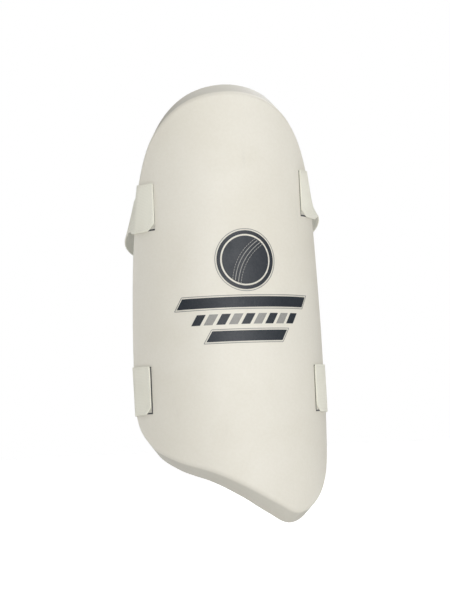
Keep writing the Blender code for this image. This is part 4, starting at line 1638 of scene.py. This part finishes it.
@dataclass
class Studio:
    """A pale floor, soft light from the front and the camera."""

    azimuth: float = -7.5
    elevation: float = -5.0
    roll: float = -2.6
    distance: float = 1.4
    target: tuple[float, float, float] = (0.0, -0.05, 0.0)
    lens: float = 85.7
    shift: tuple[float, float] = (-1 / 600, 4 / 600)
    floor_z: float = -0.27
    lamps: tuple[tuple[str, float, float, float], ...] = (
        ("front", 0.0, -3.0, 28.5), ("right", 25.0, -3.0, 17.3),
        ("behind", 160.0, 38.0, 18.0), ("behind_left", 235.0, 5.0, 11.0))
    floor_tones: tuple[Colour, Colour] = ((0.88, 0.88, 0.875), (0.92, 0.92, 0.915))
    floor_lift: float = 0.5
    sky_rise: tuple[float, float] = (0.5, 0.7)
    sky_glow: tuple[float, float] = (0.02, 0.95)
    lamp_size: float = 1.5
    lamp_distance: float = 2.3

    def build(self) -> None:
        """Builds the floor, the light and the camera."""
        self.add_floor()
        self.add_sky()
        for lamp in self.lamps:
            self.add_lamp(*lamp)
        self.add_camera()

    def add_floor(self) -> None:
        """Makes the floor, a wide disc with a faint mottle."""
        bm = bmesh.new()
        bmesh.ops.create_circle(bm, cap_ends=True, radius=9.0, segments=64)
        bmesh.ops.translate(bm, verts=bm.verts, vec=(0.0, 0.0, self.floor_z))
        mesh = bpy.data.meshes.new("studio_floor")
        bm.to_mesh(mesh)
        bm.free()
        made = bpy.data.materials.new("floor")
        made.use_nodes = True
        sheet = NodeSheet(made.node_tree)
        shader = made.node_tree.nodes["Principled BSDF"]
        place = sheet.add("ShaderNodeTexCoord").outputs["Object"]
        mottle = sheet.add("ShaderNodeTexNoise", {"Vector": place, "Scale": 3.0, "Detail": 3.0})
        seen = sheet.add("ShaderNodeLightPath").outputs["Is Camera Ray"]
        sheet.feed(shader, {"Base Color": sheet.tint(mottle.outputs["Fac"], *self.floor_tones),
                            "Roughness": 0.9, "Specular IOR Level": 0.1,
                            "Emission Color": (1.0, 1.0, 1.0, 1.0),
                            "Emission Strength": sheet.times(seen, self.floor_lift)})
        mesh.materials.append(made)
        floor = add_object("studio_floor", mesh)

    def add_sky(self) -> None:
        """Makes the even light of the studio's ceiling and walls, before a white backdrop."""
        world = bpy.data.worlds.new("studio")
        world.use_nodes = True
        sheet = NodeSheet(world.node_tree)
        world.node_tree.nodes.clear()
        height = sheet.add("ShaderNodeSeparateXYZ", {0: sheet.add("ShaderNodeTexCoord").outputs["Generated"]})
        glow = sheet.ramp(height.outputs[2], *self.sky_rise, *self.sky_glow)
        seen = sheet.add("ShaderNodeLightPath").outputs["Is Camera Ray"]
        strength = sheet.add("ShaderNodeMix", {0: seen, 2: glow, 3: 1.0}, data_type="FLOAT").outputs[0]
        back = sheet.add("ShaderNodeBackground", {"Color": (1.0, 1.0, 1.0, 1.0), "Strength": strength})
        out = sheet.add("ShaderNodeOutputWorld")
        sheet.feed(out, {"Surface": back.outputs[0]})
        bpy.context.scene.world = world

    def toward(self, azimuth: float, elevation: float) -> Vector:
        """The direction from the guard to a place round it, with 0 in front and 90 on its right."""
        turn, lift = math.radians(azimuth), math.radians(elevation)
        return Vector((math.sin(turn) * math.cos(lift), -math.cos(turn) * math.cos(lift), math.sin(lift)))

    def add_lamp(self, name: str, azimuth: float, elevation: float, power: float) -> None:
        """Adds a soft square lamp that faces the guard."""
        light = bpy.data.lights.new(name, "AREA")
        light.size = self.lamp_size
        light.energy = power
        lamp = add_object(name, light)
        back = self.toward(azimuth, elevation)
        lamp.location = back * self.lamp_distance
        lamp.rotation_euler = (-back).to_track_quat("-Z", "Y").to_euler()

    def add_camera(self) -> None:
        """Adds the camera, turned a little about its own view."""
        back = self.toward(self.azimuth, self.elevation)
        lens = bpy.data.cameras.new("camera")
        lens.lens = self.lens
        lens.shift_x, lens.shift_y = self.shift
        camera = add_object("camera", lens)
        camera.location = Vector(self.target) + back * self.distance
        look = (-back).to_track_quat("-Z", "Y") @ Quaternion((0.0, 0.0, 1.0), math.radians(self.roll))
        camera.rotation_euler = look.to_euler()
        bpy.context.scene.camera = camera
        bpy.context.scene.view_settings.view_transform = "Standard"


STRAPS = (StrapSizes(Level.UPPER, (93.5 * MM, 104.5 * MM), (29 * MM, 26 * MM), slack=-1 * MM, behind=45 * MM,
                     flare=17 * MM, droop=math.radians(12), lift=6 * MM, loop_showing=(-0.6 * MM, -0.6 * MM)),
          StrapSizes(Level.LOWER, (-82 * MM, -86 * MM), (30.5 * MM, 37 * MM), slack=-7 * MM, behind=26 * MM,
                     flare=1 * MM, droop=math.radians(4), loop_showing=(0.6 * MM, -0.6 * MM)))


def main() -> None:
    """Builds the studio and every piece of the guard."""
    logging.basicConfig(level=logging.INFO, format="%(message)s")
    Studio().build()
    surface = GuardSurface()
    book = FinishBook.build(Effects())
    patterns = Patterns()
    ShellCover(surface).build(book)
    QuiltedBack(surface).build(book, patterns)
    EdgeBinding(surface).build(book, patterns)
    PrintedFace(surface).build(book, patterns)
    for sizes in STRAPS:
        for side in Side:
            StrapEnd(surface, sizes, side).build(book, patterns)
        StrapLoop(surface, sizes).build(book, patterns)
    InnerParts().dress(book)


if __name__ == "__main__":
    main()
